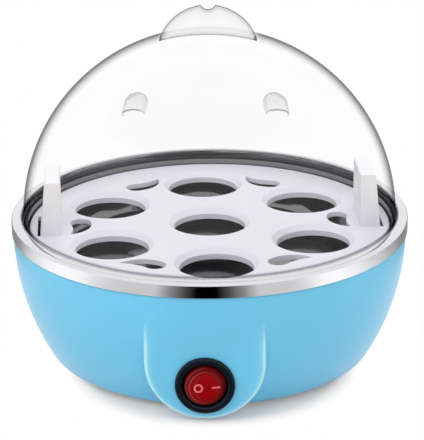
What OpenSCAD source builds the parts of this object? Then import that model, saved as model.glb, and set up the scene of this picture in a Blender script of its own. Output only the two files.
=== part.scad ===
// Egg cooker: a heated steel dish in a plastic bowl, an egg tray and a clear domed lid.
// Origin: middle of the table footprint. +Z up, the switch faces -Y, +X to the right.

/* [Rim and dish] */
// Outer radius of the steel rim
rim_r = 80; // [76:1:86]
// Width of the rim's top, from its outside to its inner wall
rim_w = 4.3; // [3.8:0.1:5.5]
// Height of the rim above the band's lower edge
rim_h = 6.4; // [6:0.2:8]
// Drop of the rim's top from its inner to its outer edge
rim_drop = 0.6; // [0.2:0.1:1]
// Radius of the rim's outer shoulder
shoulder_r = 1.4; // [1:0.1:2]
// Radius of the dish's other rolled edges
roll_r = 0.9; // [0.8:0.1:1.2]
// Thickness of the steel sheet
sheet_t = 0.6; // [0.5:0.05:0.7]
// Depth of the lid's seat below the rim's top
lid_seat_depth = 3.2; // [2.8:0.1:4]
// Depth of the tray's top below the rim's top
tray_depth = 5.4; // [5:0.1:6.5]
// Width of the lid's seat
lid_seat_w = 2.3; // [2:0.1:3]
// Width of the tray's seat
tray_seat_w = 2.9; // [2.5:0.1:4]
// Width of the dish's sloping wall
pan_slope = 10.5; // [8:0.5:13]
// Height of the dish's floor above the table
pan_z = 38; // [36:0.5:42]
// Radius of the bend around the dish's floor
pan_bend_r = 6; // [3:0.5:8]

/* [Bowl] */
// Height of the rim band's lower edge above the table
band_z = 53; // [51:0.5:58]
// Radius of the bowl's side in profile
bowl_arc_r = 97.5; // [92:0.5:120]
// Height of the bowl's underside above the table
foot_h = 3; // [2:0.25:4.5]
// Thickness of the bowl's wall
wall = 2.2; // [1.8:0.1:2.6]
// Radius around the bowl's underside
hem_r = 3; // [1:0.5:4]
// How far the opening in the bowl's floor lies inside its widest place
floor_inset = 24.4; // [22:0.2:27]

/* [Chin] */
// Half of the chin's width
chin_w = 23.1; // [20:0.1:24]
// How far the chin's flat face lies behind the rim's outside
chin_set = 4; // [3:0.25:5]
// Radius of the chin's front edge
chin_edge_r = 1.8; // [1.4:0.1:3]
// How far the chin's round foot hangs below the bowl's underside
chin_drop = 0.8; // [0:0.1:0.9]

/* [Lid] */
// Gap between the lid and the rim's inner wall
lid_gap = 0.5; // [0.3:0.05:0.8]
// Thickness of the lid's wall
lid_wall = 2; // [1.6:0.1:2.2]
// Height of the straight skirt below the dome
lid_skirt = 1.3; // [0.5:0.1:3]
// Radius of the fin's outline
fin_r = 20.4; // [17:0.1:23]
// Height of the fin above the dome's top
fin_rise = 11; // [8:0.5:13]
// Thickness of the fin
fin_t = 4; // [3:0.25:5]
// Radius of the notch in the fin's top
notch_r = 3.2; // [2.6:0.1:6]
// Depth of that notch
notch_depth = 1.9; // [1:0.1:2.5]
// Half of the vent hood's width
hood_r = 4.6; // [4:0.1:5.2]
// Length of the vent hood, without its round end
hood_l = 7; // [6:0.5:10]
// Thickness of the vent hood's wall
hood_wall = 1.2; // [0.8:0.1:1.4]
// Angle of the vent hoods from the dome's top
hood_lean = 40.2; // [36:0.2:46]
// Angle of each vent hood from the front
hood_angle = 34; // [25:1:45]
// How far the middle of the hood's tube lies below the dome's outside
hood_sink = 1.6; // [1:0.1:2]

/* [Egg tray] */
// Gap between the tray's edge and the dish
tray_gap = 0.4; // [0.3:0.05:0.8]
// Thickness of the tray
tray_t = 2; // [1.6:0.1:2.3]
// Angle that the tray is turned by against the bowl
tray_turn = 5; // [0:1:15]
// Distance of the outer egg places from the tray's edge
egg_inset = 27; // [26:0.5:29]
// Radius of an egg hole
egg_hole_r = 14.5; // [12:0.5:15]
// Width of the bevel around an egg hole
egg_bevel = 2; // [1:0.25:2.5]
// Depth of the collar below an egg hole
collar_h = 2.2; // [1:0.2:4]
// Height of the tray's handles above it
handle_h = 22; // [16:1:30]
// Width of a handle
handle_w = 23; // [16:1:26]
// Thickness of a handle at its foot
handle_foot_t = 8.25; // [6:0.25:9]
// Thickness of a handle at its top
handle_top_t = 6; // [3:0.2:7]
// Distance of a handle's inner face from the tray's edge
handle_inset = 13; // [12.5:0.5:14.5]
// Width of the slit at a handle's outer foot
slit_w = 1.2; // [0.8:0.1:1.4]
// Half of the steam slot's width at its round end
slot_r = 4.2; // [3:0.1:4.4]
// How much further out that round end lies than the egg places
slot_out = 6.4; // [5:0.2:8]
// Angle of that round end from the egg place beside it
slot_angle = 26.9; // [26:0.1:30]
// Angle that the steam slot's tail turns through
slot_sweep = 13.9; // [11:0.1:16]
// How much further out the tail ends
slot_tail = 5.2; // [4:0.2:7]

/* [Switch] */
// Width of the bezel's flange around the barrel
bezel_w = 1.55; // [1.2:0.05:2]
// Thickness of the bezel
bezel_t = 1.8; // [1.6:0.1:2]
// Thickness of the barrel's wall
barrel_wall = 1.3; // [1.1:0.05:1.6]
// Depth of the barrel behind the chin's face
barrel_l = 14; // [13:0.5:15]
// Height of the switch's middle above the table
switch_z = 16.1; // [15.5:0.1:19]
// Radius of the rocker
rocker_r = 8; // [7.4:0.1:8.1]
// Height of the rocker's face above the bezel
rocker_proud = 1.25; // [0.8:0.05:1.4]
// Distance of the rocker's face from its pivot
rocker_reach = 4; // [3.6:0.1:4.2]
// Angle between the rocker's middle and either end of its travel
rocker_tilt = 7.5; // [5:0.5:8]
// Distance of the plunger's tip from the rocker's pivot
plunger_reach = 9; // [8.4:0.1:9.4]
// Distance between the switch's two blades
blade_gap = 11; // [10:0.5:12]

/* [Heater] */
// Radius of the heater plate
plate_r = 32; // [30.5:0.5:34]
// Thickness of the heater plate
plate_t = 3; // [2.5:0.25:3.5]
// Distance of the heater tube's ring from the plate's edge
ring_inset = 6; // [5.5:0.25:7]
// Radius of the heater tube
tube_r = 3.2; // [2.8:0.1:3.4]
// Half of the angle left open in the heater ring
ring_open = 30; // [28:1:34]
// Radius of the thermostat's body
stat_r = 7.8; // [7:0.1:8.2]
// Height of the thermostat's body
stat_h = 9; // [8:0.5:10]
// Radius of the fuse's sleeve
sleeve_r = 2.6; // [2.4:0.1:2.8]

/* [Base] */
// Thickness of the bottom cover
cover_t = 2; // [1.6:0.1:2.1]
// Distance of the posts from the edge of the floor's opening
post_inset = 10; // [8:0.5:12]
// Radius of a post's round outline
post_r = 4; // [3.6:0.1:4.4]
// Radius of the posts' screws
screw_r = 1.95; // [1.7:0.05:2.05]
// Distance of the feet from the cover's edge
foot_inset = 9; // [8.5:0.5:12]
// Radius of a foot
foot_r = 6.5; // [5:0.25:7]
// How far the cord gland's flange starts behind the rim's outside
inlet_set = 5.5; // [5:0.5:8]
// Length of the cord gland's barrel
gland_l = 14.5; // [13:0.5:17]
// Radius of the cord inlet's bore
inlet_r = 3.2; // [2.8:0.1:3.6]
// Height of the cord inlet above the table
inlet_z = 14; // [13.5:0.25:16]
// Radius of an insulated lead
lead_r = 1.1; // [0.9:0.05:1.2]

/* [Hidden] */
$fn = 96;
eps = 0.01;
seat_gap = 0.2;      // clearance where a piece rests on its seat
slip_gap = 0.05;     // radial clearance of a piece that is pushed or screwed in
big = 300;

// Rim, dish and tray, from the outside in
rim_top_z = band_z + rim_h;
rim_in_r = rim_r - rim_w;
lid_seat_z = rim_top_z - lid_seat_depth;
tray_wall_r = rim_in_r - lid_seat_w;
tray_seat_r = tray_wall_r - tray_seat_w;
tray_top_z = rim_top_z - tray_depth;
tray_z = tray_top_z - tray_t;
tray_seat_z = tray_z - seat_gap;
tray_r = tray_wall_r - tray_gap;
pan_r = tray_seat_r - pan_slope;
egg_ring_r = tray_r - egg_inset;
handle_in_r = tray_r - handle_inset;
ring_eggs = 6;
egg_angles = [for (i = [0:ring_eggs - 1]) 360 * i / ring_eggs - 90];
slot_angles = [for (i = [0:2:ring_eggs - 1]) egg_angles[i]];
collar_t = 1.6;
edge_r = 0.8;        // rounding of the tray's upper edge and its handles
pan_under_z = pan_z - sheet_t;

// Bowl
bowl_r = rim_r - sheet_t;
bowl_cx = bowl_r - bowl_arc_r;
neck_r = bowl_r - seat_gap - 0.1;
neck_in_r = bowl_r - wall;
neck_top_z = rim_top_z - rim_drop - sheet_t + 0.1;
step_z = band_z - seat_gap;
cover_z = foot_h + seat_gap;
floor_z = cover_z + cover_t;
floor_top_z = floor_z + wall;
floor_hole_r = bowl_r - floor_inset;
recess_r = floor_hole_r + 5.3;
cover_r = recess_r - 0.3;
chin_z = foot_h - chin_drop + chin_w;
chin_y = rim_r - chin_set;
chin_root_y = chin_y - 36;

// Lid
lid_r = rim_in_r - lid_gap;
lid_z = lid_seat_z + seat_gap;
dome_z = lid_z + lid_skirt;
dome_top_z = dome_z + lid_r;
fin_z = dome_top_z + fin_rise - fin_r;

// Switch, measured along Y from the chin's face
rocker_hole_r = rocker_r + 0.6;
barrel_r = rocker_hole_r + barrel_wall;
bezel_r = barrel_r + bezel_w;
bezel_y = -chin_y - bezel_t;
rocker_y = bezel_y - rocker_proud;
pivot_y = rocker_y + rocker_reach;
barrel_back_y = -chin_y + barrel_l;
contact_y = pivot_y + plunger_reach + 0.3;
blade_y = barrel_back_y + 7.5;
blade_t = 0.8;

// Heater
plate_z = pan_under_z - plate_t;
ring_r = plate_r - ring_inset;
tube_z = plate_z - tube_r * 0.45;
leg_angles = [90 - ring_open, 90 + ring_open];
leg_x = ring_r * sin(ring_open);
leg_y = ring_r * cos(ring_open);
leg_r = tube_r + 0.3;
leg_top_z = tube_z + tube_r - 0.5;
leg_z = plate_z - 9;
pin_z = leg_z - 12;
stat_cap_h = 2.4;
flange_t = 0.8;
flange_z = plate_z - stat_cap_h - flange_t;
stat_z = flange_z - stat_h;
stat_blade_z = stat_z - 8;
stat_screw_x = stat_r + 3.2;
fuse_y = 14.5;
fuse_z = plate_z - sleeve_r - 0.1;
fuse_l = 9;
fuse_lead_x = 12;
clip_w = 6;
clip_t = 0.7;
clip_screw_y = fuse_y + sleeve_r + 3;

// Base
post_angles = [0, 120, 240];
post_dist = floor_hole_r - post_inset;
foot_angles = [45, 135, 225, 315];
foot_dist = cover_r - foot_inset;
post_z = floor_top_z;
boss_r = 5.6;
head_r = 3.6;
head_h = 2.2;
head_z = cover_z + 0.4;
stem_r = 2.45;
vent_count = 12;
earth_pos = [-33, 19];
earth_z = plate_z - 2.4;
lug_l = 9;
lug_turn = 30;
block_y = floor_hole_r - 14;
block_size = [27, 13, 11];
pole_gap = 9;
pole_z = floor_z + 6;
inlet_y = rim_r - inlet_set;
inlet_flange_t = 2.5;
gland_in_y = inlet_y - gland_l;
gland_r = 5.5;
boss_y = gland_in_y + 5.4;

// ---- Shared shapes ----

function unit(v) = v / norm(v);
function polar(r, a) = r * [cos(a), sin(a)];
function arc(c, r, a0, a1, n) = [for (i = [0:n]) c + polar(r, a0 + (a1 - a0) * i / n)];
function angle_of(v) = atan2(v[1], v[0]);
function short_turn(a) = a > 180 ? a - 360 : a < -180 ? a + 360 : a;

// Points that round the corner at b, between a and c, with radius r.
function corner(a, b, c, r, n) =
    let (u = unit(a - b), v = unit(c - b), half = acos(u * v) / 2)
    let (centre = b + unit(u + v) * r / sin(half), reach = r / tan(half))
    let (a0 = angle_of(b + u * reach - centre), turn = short_turn(angle_of(b + v * reach - centre) - a0))
    arc(centre, r, a0, a0 + turn, n);

// An open outline whose corner i is rounded by radii[i].
function rounded(path, radii, n = 5) = [
    for (i = [0:len(path) - 1])
        each (i == 0 || i == len(path) - 1 || radii[i] == 0)
            ? [path[i]]
            : corner(path[i - 1], path[i], path[i + 1], radii[i], n)
];

// A closed outline whose corners are all rounded by r.
function rounded_loop(path, r, n = 5) =
    let (m = len(path))
    [for (i = [0:m - 1]) each corner(path[(i + m - 1) % m], path[i], path[(i + 1) % m], r, n)];

function left_of(a, b) = let (d = unit(b - a)) [-d[1], d[0]];
function shifted(p, t) = [
    for (i = [0:len(p) - 1])
        let (before = i > 0 ? left_of(p[i - 1], p[i]) : left_of(p[i], p[i + 1]))
        let (after = i < len(p) - 1 ? left_of(p[i], p[i + 1]) : before)
        let (m = unit(before + after))
        p[i] + m * t / (m * before)
];
function reversed(p) = [for (i = [len(p) - 1:-1:0]) p[i]];

// A sheet of thickness t to the left of an open outline.
function sheet(p, t) = concat(p, reversed(shifted(p, t)));

module lathe(points) {
    rotate_extrude() polygon(points);
}

module tube(r_out, r_in, h) {
    difference() {
        cylinder(r = r_out, h = h);
        translate([0, 0, -eps]) cylinder(r = r_in, h = h + 2 * eps);
    }
}

// Stands children up so that their +Z runs along +Y, starting at y.
module along_y(x, y, z) {
    translate([x, y, z]) rotate([-90, 0, 0]) children();
}

module around(angles, dist) {
    for (a = angles) rotate([0, 0, a]) translate([dist, 0, 0]) children();
}

module slab(low, high) {
    translate(low) cube(high - low);
}

// A smooth curve through p: a cubic between each two points, n steps each.
function curve_point(p0, p1, p2, p3, t) =
    0.5 * (2 * p1 + (p2 - p0) * t + (2 * p0 - 5 * p1 + 4 * p2 - p3) * t * t
        + (3 * p1 - p0 - 3 * p2 + p3) * t * t * t);
function curve(p, n) = concat([
    for (i = [0:len(p) - 2], k = [0:n - 1])
        curve_point(p[max(i - 1, 0)], p[i], p[i + 1], p[min(i + 2, len(p) - 1)], k / n)
], [p[len(p) - 1]]);

function square_to(v, way) = unit(v - way * (v * way));

// A closed tube of radius r along the points p, each ring turned as little as can be from the last.
module swept(p, r, sides = 8) {
    last = len(p) - 1;
    way = [for (i = [0:last]) unit(p[min(i + 1, last)] - p[max(i - 1, 0)])];
    start = cross(way[0], abs(way[0][2]) < 0.8 ? [0, 0, 1] : [1, 0, 0]);
    side = [
        for (i = 0, s = unit(start); i <= last; i = i + 1, s = square_to(s, way[min(i, last)])) s
    ];
    points = [
        for (i = [0:last], k = [0:sides - 1])
            p[i] + r * (cos(360 * k / sides) * side[i] + sin(360 * k / sides) * cross(side[i], way[i]))
    ];
    skin = [
        for (i = [0:last - 1], k = [0:sides - 1])
            let (j = (k + 1) % sides)
            [i * sides + k, i * sides + j, (i + 1) * sides + j, (i + 1) * sides + k]
    ];
    caps = [[for (k = [sides - 1:-1:0]) k], [for (k = [0:sides - 1]) last * sides + k]];
    polyhedron(points, concat(skin, caps));
}

// ---- Bowl and base ----

bowl_c = [bowl_cx, band_z];
hem_a = asin((foot_h + hem_r - band_z) / (bowl_arc_r - hem_r));
hem_c = bowl_c + (bowl_arc_r - hem_r) * [cos(hem_a), sin(hem_a)];
step_a = asin((step_z - band_z) / bowl_arc_r);
inner_arc_r = bowl_arc_r - wall;
inner_a = asin((floor_top_z - band_z) / inner_arc_r);

module bowl_outside() {
    lathe(concat(
        [[0, foot_h]],
        arc(hem_c, hem_r, -90, hem_a, 6),
        arc(bowl_c, bowl_arc_r, hem_a, step_a, 24),
        [[neck_r, step_z], [neck_r, neck_top_z - 0.9], [neck_r - 0.8, neck_top_z], [0, neck_top_z]]
    ));
}

module bowl_inside() {
    lathe(concat(
        [[0, floor_top_z]],
        arc(bowl_c, inner_arc_r, inner_a, 0, 24),
        [[neck_in_r, neck_top_z + 1], [0, neck_top_z + 1]]
    ));
}

// The chin's outside, or its inside where inset is the wall: flat in front, round below.
module chin(inset) {
    r = chin_w - inset;
    front = chin_y - inset;
    edge = max(chin_edge_r - inset, 0.3);
    root = [r, chin_root_y];
    side = concat([[0, chin_root_y], root], corner(root, [r, front], [0, front], edge, 6), [[0, front]]);
    translate([0, 0, chin_z]) {
        rotate([90, 0, 0]) lathe(side);
        linear_extrude(step_z - chin_z) {
            for (m = [0, 1]) mirror([m, 0]) mirror([0, 1]) polygon(side);
        }
    }
}

// The thick place behind, where the cord inlet sits.
module gland_boss(y_end) {
    along_y(0, boss_y, inlet_z) cylinder(r = 9.2, h = y_end - boss_y);
}

module base_shell() {
    color("#7ac6ea") difference() {
        union() {
            bowl_outside();
            chin(0);
            gland_boss(inlet_y);
        }
        difference() {
            bowl_inside();
            gland_boss(inlet_y + 10);
        }
        intersection() {
            chin(wall);
            slab([-big, -big, floor_top_z], [big, -floor_hole_r + 10, step_z - wall]);
        }
        translate([0, 0, foot_h - 1]) cylinder(r = recess_r, h = floor_z - foot_h + 1);
        cylinder(r = floor_hole_r, h = big);
        along_y(0, -chin_y - 1, switch_z) cylinder(r = barrel_r + 0.15, h = barrel_l + 12);
        along_y(0, floor_hole_r, inlet_z) cylinder(r = gland_r + slip_gap, h = 30);
    }
}

module bottom_cover() {
    color("#e8ebee") difference() {
        union() {
            translate([0, 0, cover_z]) cylinder(r = cover_r, h = cover_t);
            around(post_angles, post_dist) translate([0, 0, cover_z])
                cylinder(r = boss_r, h = post_z - cover_z);
        }
        around(post_angles, post_dist) {
            translate([0, 0, cover_z - 1])
                cylinder(r = head_r + 0.3, h = head_z + head_h - cover_z + 1 + slip_gap);
            cylinder(r = screw_r + 0.25, h = big);
        }
        around(foot_angles, foot_dist) cylinder(r = stem_r + slip_gap, h = big);
        for (i = [0:vent_count - 1]) rotate([0, 0, 360 * (i + 0.5) / vent_count])
            slab([20, -1.5, cover_z - 1], [34, 1.5, cover_z + cover_t + 1]);
        for (x = [-1, 1]) translate([x * pole_gap / 2, block_y, cover_z + 0.5]) cylinder(r = 1.15, h = big);
    }
}

module rubber_feet() {
    color("#2a2a2c") around(foot_angles, foot_dist) {
        cylinder(r = foot_r, h = cover_z);
        cylinder(r = stem_r, h = floor_z + 1);
        translate([0, 0, floor_z]) cylinder(r = stem_r + 1, h = 1.2);
    }
}

module cover_screws() {
    color("silver") around(post_angles, post_dist) difference() {
        translate([0, 0, head_z]) {
            cylinder(r = head_r, h = head_h);
            cylinder(r = screw_r, h = post_z + 8 - head_z);
        }
        translate([0, 0, head_z - eps]) for (a = [0, 90]) rotate([0, 0, a])
            slab([-2.2, -0.5, 0], [2.2, 0.5, 1.2]);
    }
}

module cord_gland() {
    color("#303234") along_y(0, gland_in_y, inlet_z) difference() {
        union() {
            cylinder(r = gland_r, h = inlet_y - gland_in_y);
            translate([0, 0, inlet_y - gland_in_y]) cylinder(r = 7.6, h = inlet_flange_t);
        }
        translate([0, 0, -1]) cylinder(r = inlet_r, h = big);
    }
}

module gland_nut() {
    color("#3a3c3f") along_y(0, boss_y - 4 - slip_gap, inlet_z) difference() {
        cylinder(r = 7.3, h = 4, $fn = 6);
        translate([0, 0, -1]) cylinder(r = gland_r + slip_gap, h = 6);
    }
}

// ---- Steel dish and heater ----

module steel_dish() {
    path = [
        [rim_r, band_z], [rim_r, rim_top_z - rim_drop], [rim_in_r, rim_top_z],
        [rim_in_r, lid_seat_z], [tray_wall_r, lid_seat_z], [tray_wall_r, tray_seat_z],
        [tray_seat_r, tray_seat_z], [pan_r, pan_z], [0, pan_z]
    ];
    radii = [0, shoulder_r, roll_r, 0.4, roll_r, 0.4, roll_r, pan_bend_r, 0];
    color("#c9ccd0") lathe(sheet(rounded(path, radii), sheet_t));
}

module dish_posts() {
    color("#b0b4b8") around(post_angles, post_dist) difference() {
        translate([0, 0, post_z]) cylinder(r = post_r, h = pan_under_z - post_z, $fn = 6);
        translate([0, 0, post_z - 1]) cylinder(r = screw_r + slip_gap, h = 13);
    }
}

module heater_plate() {
    bore_h = stat_cap_h + plate_t - 1;
    color("#a9adb2") difference() {
        union() {
            translate([0, 0, plate_z]) cylinder(r = plate_r, h = plate_t);
            for (x = [-1, 1]) translate([x * stat_screw_x, 0, flange_z + flange_t])
                cylinder(r = 2.6, h = stat_cap_h);
        }
        translate([0, 0, tube_z]) rotate([0, 0, 90 + ring_open]) rotate_extrude(angle = 360 - 2 * ring_open)
            translate([ring_r, 0]) circle(r = tube_r + slip_gap);
        around(leg_angles, ring_r) cylinder(r = leg_r + slip_gap, h = leg_top_z + slip_gap);
        for (x = [-1, 1]) translate([x * stat_screw_x, 0, flange_z])
            cylinder(r = 1.2 + slip_gap, h = bore_h + 1);
        translate([0, clip_screw_y, plate_z - 1]) cylinder(r = 1 + slip_gap, h = plate_t);
    }
}

module heater_tube() {
    color("#8d9196") {
        translate([0, 0, tube_z]) rotate([0, 0, 90 + ring_open]) rotate_extrude(angle = 360 - 2 * ring_open)
            translate([ring_r, 0]) circle(r = tube_r);
        around(leg_angles, ring_r) translate([0, 0, leg_z]) cylinder(r = leg_r, h = leg_top_z - leg_z);
    }
}

module heater_beads() {
    color("#e9e2d2") around(leg_angles, ring_r) translate([0, 0, leg_z - 3]) tube(leg_r, 1.15, 3);
}

module heater_pins() {
    color("#b8bbbf") around(leg_angles, ring_r) translate([0, 0, pin_z])
        cylinder(r = 1.1, h = leg_z - pin_z);
}

module thermostat_cap() {
    color("#d7dadd") translate([0, 0, flange_z + flange_t]) cylinder(r = stat_r + 0.3, h = stat_cap_h);
}

module thermostat_flange() {
    color("#c2c5c8") translate([0, 0, flange_z]) difference() {
        union() {
            cylinder(r = stat_r + 1, h = flange_t);
            for (x = [-1, 1]) translate([x * stat_screw_x, 0, 0]) cylinder(r = 3.4, h = flange_t);
            slab([-stat_screw_x, -3.4, 0], [stat_screw_x, 3.4, flange_t]);
        }
        for (x = [-1, 1]) translate([x * stat_screw_x, 0, -1]) cylinder(r = 1.5, h = 3);
    }
}

module thermostat_body() {
    color("#2b2320") translate([0, 0, stat_z]) cylinder(r = stat_r, h = stat_h);
}

module thermostat_blades() {
    color("#c9b26a") for (x = [-1, 1])
        slab([x * 4 - blade_t / 2, -3.15, stat_blade_z], [x * 4 + blade_t / 2, 3.15, stat_z]);
}

module thermostat_screws() {
    color("silver") for (x = [-1, 1]) translate([x * stat_screw_x, 0, flange_z - 1.8]) {
        cylinder(r = 2.6, h = 1.8);
        cylinder(r = 1.2, h = 1.8 + flange_t + stat_cap_h + plate_t - 1.4);
    }
}

module thermal_fuse() {
    color("#b9a46a") translate([0, fuse_y, fuse_z]) rotate([0, 90, 0]) {
        translate([0, 0, -fuse_l / 2]) cylinder(r = sleeve_r - 0.8, h = fuse_l);
        translate([0, 0, -fuse_lead_x]) cylinder(r = 0.5, h = 2 * fuse_lead_x);
    }
}

module fuse_sleeve() {
    color("#efe9dc") translate([-fuse_lead_x + 2, fuse_y, fuse_z]) rotate([0, 90, 0])
        tube(sleeve_r, sleeve_r - 0.7, 2 * fuse_lead_x - 4);
}

// A strap under the sleeve: round below, with one ear screwed up to the plate.
module fuse_clip() {
    r = sleeve_r + slip_gap;
    color("#b6babf") difference() {
        union() {
            translate([-clip_w / 2, fuse_y, fuse_z]) rotate([0, 90, 0])
                cylinder(r = r + clip_t, h = clip_w);
            slab([-clip_w / 2, fuse_y - r - clip_t, fuse_z], [clip_w / 2, fuse_y + r + clip_t, plate_z]);
            slab([-clip_w / 2, fuse_y, plate_z - clip_t], [clip_w / 2, clip_screw_y + 2.1, plate_z]);
        }
        translate([-clip_w, fuse_y, fuse_z]) rotate([0, 90, 0]) cylinder(r = r, h = 2 * clip_w);
        slab([-clip_w, fuse_y - r, fuse_z], [clip_w, fuse_y + r, plate_z + 1]);
        translate([0, clip_screw_y, 0]) cylinder(r = 1.2, h = big);
    }
}

module clip_screw() {
    color("silver") translate([0, clip_screw_y, plate_z - clip_t - 1.4]) {
        cylinder(r = 1.9, h = 1.4);
        cylinder(r = 1, h = 1.4 + clip_t + plate_t - 1.2);
    }
}

module earth_stud() {
    color("#b0b4b8") translate([earth_pos[0], earth_pos[1], earth_z - 3])
        cylinder(r = 1.95, h = pan_under_z - earth_z + 3);
}

module earth_lug() {
    color("#c9b26a") translate([earth_pos[0], earth_pos[1], earth_z]) difference() {
        union() {
            cylinder(r = 4, h = blade_t);
            rotate([0, 0, lug_turn]) slab([0, -1.6, 0], [lug_l, 1.6, blade_t]);
        }
        translate([0, 0, -1]) cylinder(r = 2.05, h = 3);
    }
}

module earth_nut() {
    color("silver") translate([earth_pos[0], earth_pos[1], earth_z - 2.4]) difference() {
        cylinder(r = 3.8, h = 2.4, $fn = 6);
        translate([0, 0, -1]) cylinder(r = 2, h = 5);
    }
}

// ---- Terminal block ----

module at_poles() {
    for (i = [-1:1]) translate([i * pole_gap, block_y, 0]) children();
}

module at_block_bolts() {
    for (x = [-1, 1]) translate([x * pole_gap / 2, block_y, 0]) children();
}

module terminal_block() {
    low = [-block_size[0] / 2, block_y - block_size[1] / 2, floor_z];
    color("#eceae2") difference() {
        slab(low, low + block_size);
        at_poles() {
            along_y(0, -block_size[1], pole_z) cylinder(r = 2.5 + slip_gap, h = 2 * block_size[1]);
            translate([0, 0, pole_z]) cylinder(r = 2, h = block_size[2]);
        }
        at_block_bolts() cylinder(r = 1.2, h = big);
    }
}

module block_inserts() {
    insert_l = block_size[1] - 2;
    color("#c9b26a") at_poles() difference() {
        along_y(0, -insert_l / 2, pole_z) cylinder(r = 2.5, h = insert_l);
        along_y(0, -insert_l, pole_z) cylinder(r = lead_r + 0.3, h = 2 * insert_l);
        translate([0, 0, pole_z]) cylinder(r = 1.3, h = 5);
    }
}

module block_screws() {
    color("silver") at_poles() translate([0, 0, pole_z + 2.55]) {
        cylinder(r = 1.9, h = 1.8);
        translate([0, 0, -1]) cylinder(r = 1.25, h = 1.2);
    }
}

module block_bolts() {
    color("silver") at_block_bolts() {
        translate([0, 0, floor_z + block_size[2]]) cylinder(r = 2, h = 1.4);
        translate([0, 0, cover_z + 0.6]) cylinder(r = 1.1, h = floor_z + block_size[2] - cover_z);
    }
}

// ---- Switch ----

module switch_housing() {
    color("#15181b") along_y(0, -chin_y, switch_z) difference() {
        union() {
            translate([0, 0, -bezel_t]) cylinder(r = bezel_r, h = bezel_t);
            cylinder(r = barrel_r, h = barrel_l);
        }
        translate([0, 0, -bezel_t - 1]) cylinder(r = rocker_hole_r, h = barrel_l + bezel_t);
        translate([0, 0, pivot_y + chin_y]) rotate([90, 0, 0])
            translate([0, 0, -rocker_hole_r - 0.8]) cylinder(r = 1.05, h = 2 * rocker_hole_r + 1.6);
    }
}

module switch_blades() {
    post_l = barrel_back_y - 1 - contact_y;
    color("#c9b26a") for (x = [-1, 1]) {
        slab([x * blade_gap / 2 - 2.2, barrel_back_y, switch_z - blade_t / 2],
            [x * blade_gap / 2 + 2.2, blade_y, switch_z + blade_t / 2]);
    }
    color("#c9b26a") {
        along_y(0, barrel_back_y - 1 - post_l + 1, switch_z) cylinder(r = 1.2, h = post_l - 1);
        along_y(-blade_gap / 2 + 0.6, barrel_back_y - 2, switch_z) cylinder(r = 1.2, h = 1);
    }
}

// Places a child, drawn about the rocker's pivot with its face towards -Y, at the rocker's rest.
module at_rocker() {
    translate([0, pivot_y, switch_z]) rotate([0, 0, rocker_tilt]) children();
}

module switch_rocker() {
    face_r = 48;
    back = rocker_reach + 1.6;
    skin = concat(
        [[0, 0]],
        arc([0, face_r], face_r, -90, -90 + asin((rocker_r - 1.6) / face_r), 4),
        arc([rocker_r - 1.6, 2.05], 1.6, -82, 0, 5),
        [[rocker_r, back], [rocker_r - 1.6, back], [rocker_r - 1.6, 3.2], [3, 3.2], [3, back + 2.6]],
        [[1.5, back + 2.6], [1.5, 3.2], [0, 3.2]]
    );
    color("#b0060c") at_rocker() {
        translate([0, -rocker_reach, 0]) rotate([-90, 0, 0]) lathe(skin);
        for (s = [-1, 1]) translate([0, 0, s * rocker_r - (s < 0 ? 1.1 : 0.3)]) cylinder(r = 1, h = 1.4);
    }
}

spring_turns = 5;
spring_r = 1.1;
spring_wire_r = 0.2;

module switch_spring() {
    start = 3.2 - rocker_reach + spring_wire_r + 0.05;
    rise = 2.6;
    steps = spring_turns * 12;
    color("#c4c7ca") at_rocker() swept([
        for (i = [0:steps]) [
            spring_r * cos(360 * spring_turns * i / steps),
            start + rise * i / steps,
            spring_r * sin(360 * spring_turns * i / steps)
        ]
    ], spring_wire_r, 6);
}

module switch_plunger() {
    start = 3.2 - rocker_reach + 3.1;
    color("#d9dde0") at_rocker() {
        along_y(0, start, 0) cylinder(r = 1.5 - slip_gap, h = plunger_reach - 1 - start);
        along_y(0, plunger_reach - 1, 0) sphere(r = 1);
    }
}

module switch_contact() {
    contact_tilt = -0.8 * rocker_tilt;
    color("#c9a24a") translate([0, contact_y + 0.5, switch_z]) rotate([0, 0, contact_tilt])
        slab([-5.6, -0.5, -1.6], [5.6, 0.3, 1.6]);
}

// ---- Leads ----

// Straight first and last stretches, so that a lead meets its terminals squarely.
function with_straight_ends(p) =
    let (last = len(p) - 1)
    concat(
        [p[0], (p[0] + p[1]) / 2],
        [for (i = [1:last - 1]) p[i]],
        [(p[last] + p[last - 1]) / 2, p[last]]
    );

module lead(points, colour) {
    color(colour) swept(curve(with_straight_ends(points), 3), lead_r);
}

// A lead's route between its ends, drawn for a floor hole of 55 and carried along with the hole's size.
function routed(points) = [for (p = points) [p[0] * floor_hole_r / 55, p[1] * floor_hole_r / 55, p[2]]];

switch_end = [blade_gap / 2, blade_y, switch_z];
block_front = block_y - block_size[1] / 2;
stat_end = [4, 0, stat_blade_z];

module live_lead() {
    lead(concat(
        [[pole_gap, block_front + 2.5, pole_z], [pole_gap, block_front - 3, pole_z]],
        routed([[24, 22, 9], [33, 5, 8.5], [30, -24, 9], [17, -43, 13]]),
        [[switch_end[0], switch_end[1] + 4, switch_z], switch_end]
    ), "#7a4a2a");
}

module switched_lead() {
    lead(concat(
        [[-switch_end[0], switch_end[1], switch_z], [-switch_end[0], switch_end[1] + 5, switch_z]],
        routed([[-6, -38, 12], [-2, -24, 8.5], [3, -9, 8]]),
        [[stat_end[0], 0, stat_end[2] - 3], stat_end]
    ), "#303236");
}

module heater_lead() {
    lead([
        [-stat_end[0], 0, stat_end[2]], [-stat_end[0], 0, stat_end[2] - 3], [-8, 9, 8.5],
        [-12, 18, 8.5], [-leg_x, leg_y, pin_z - 3], [-leg_x, leg_y, pin_z]
    ], "#303236");
}

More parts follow.
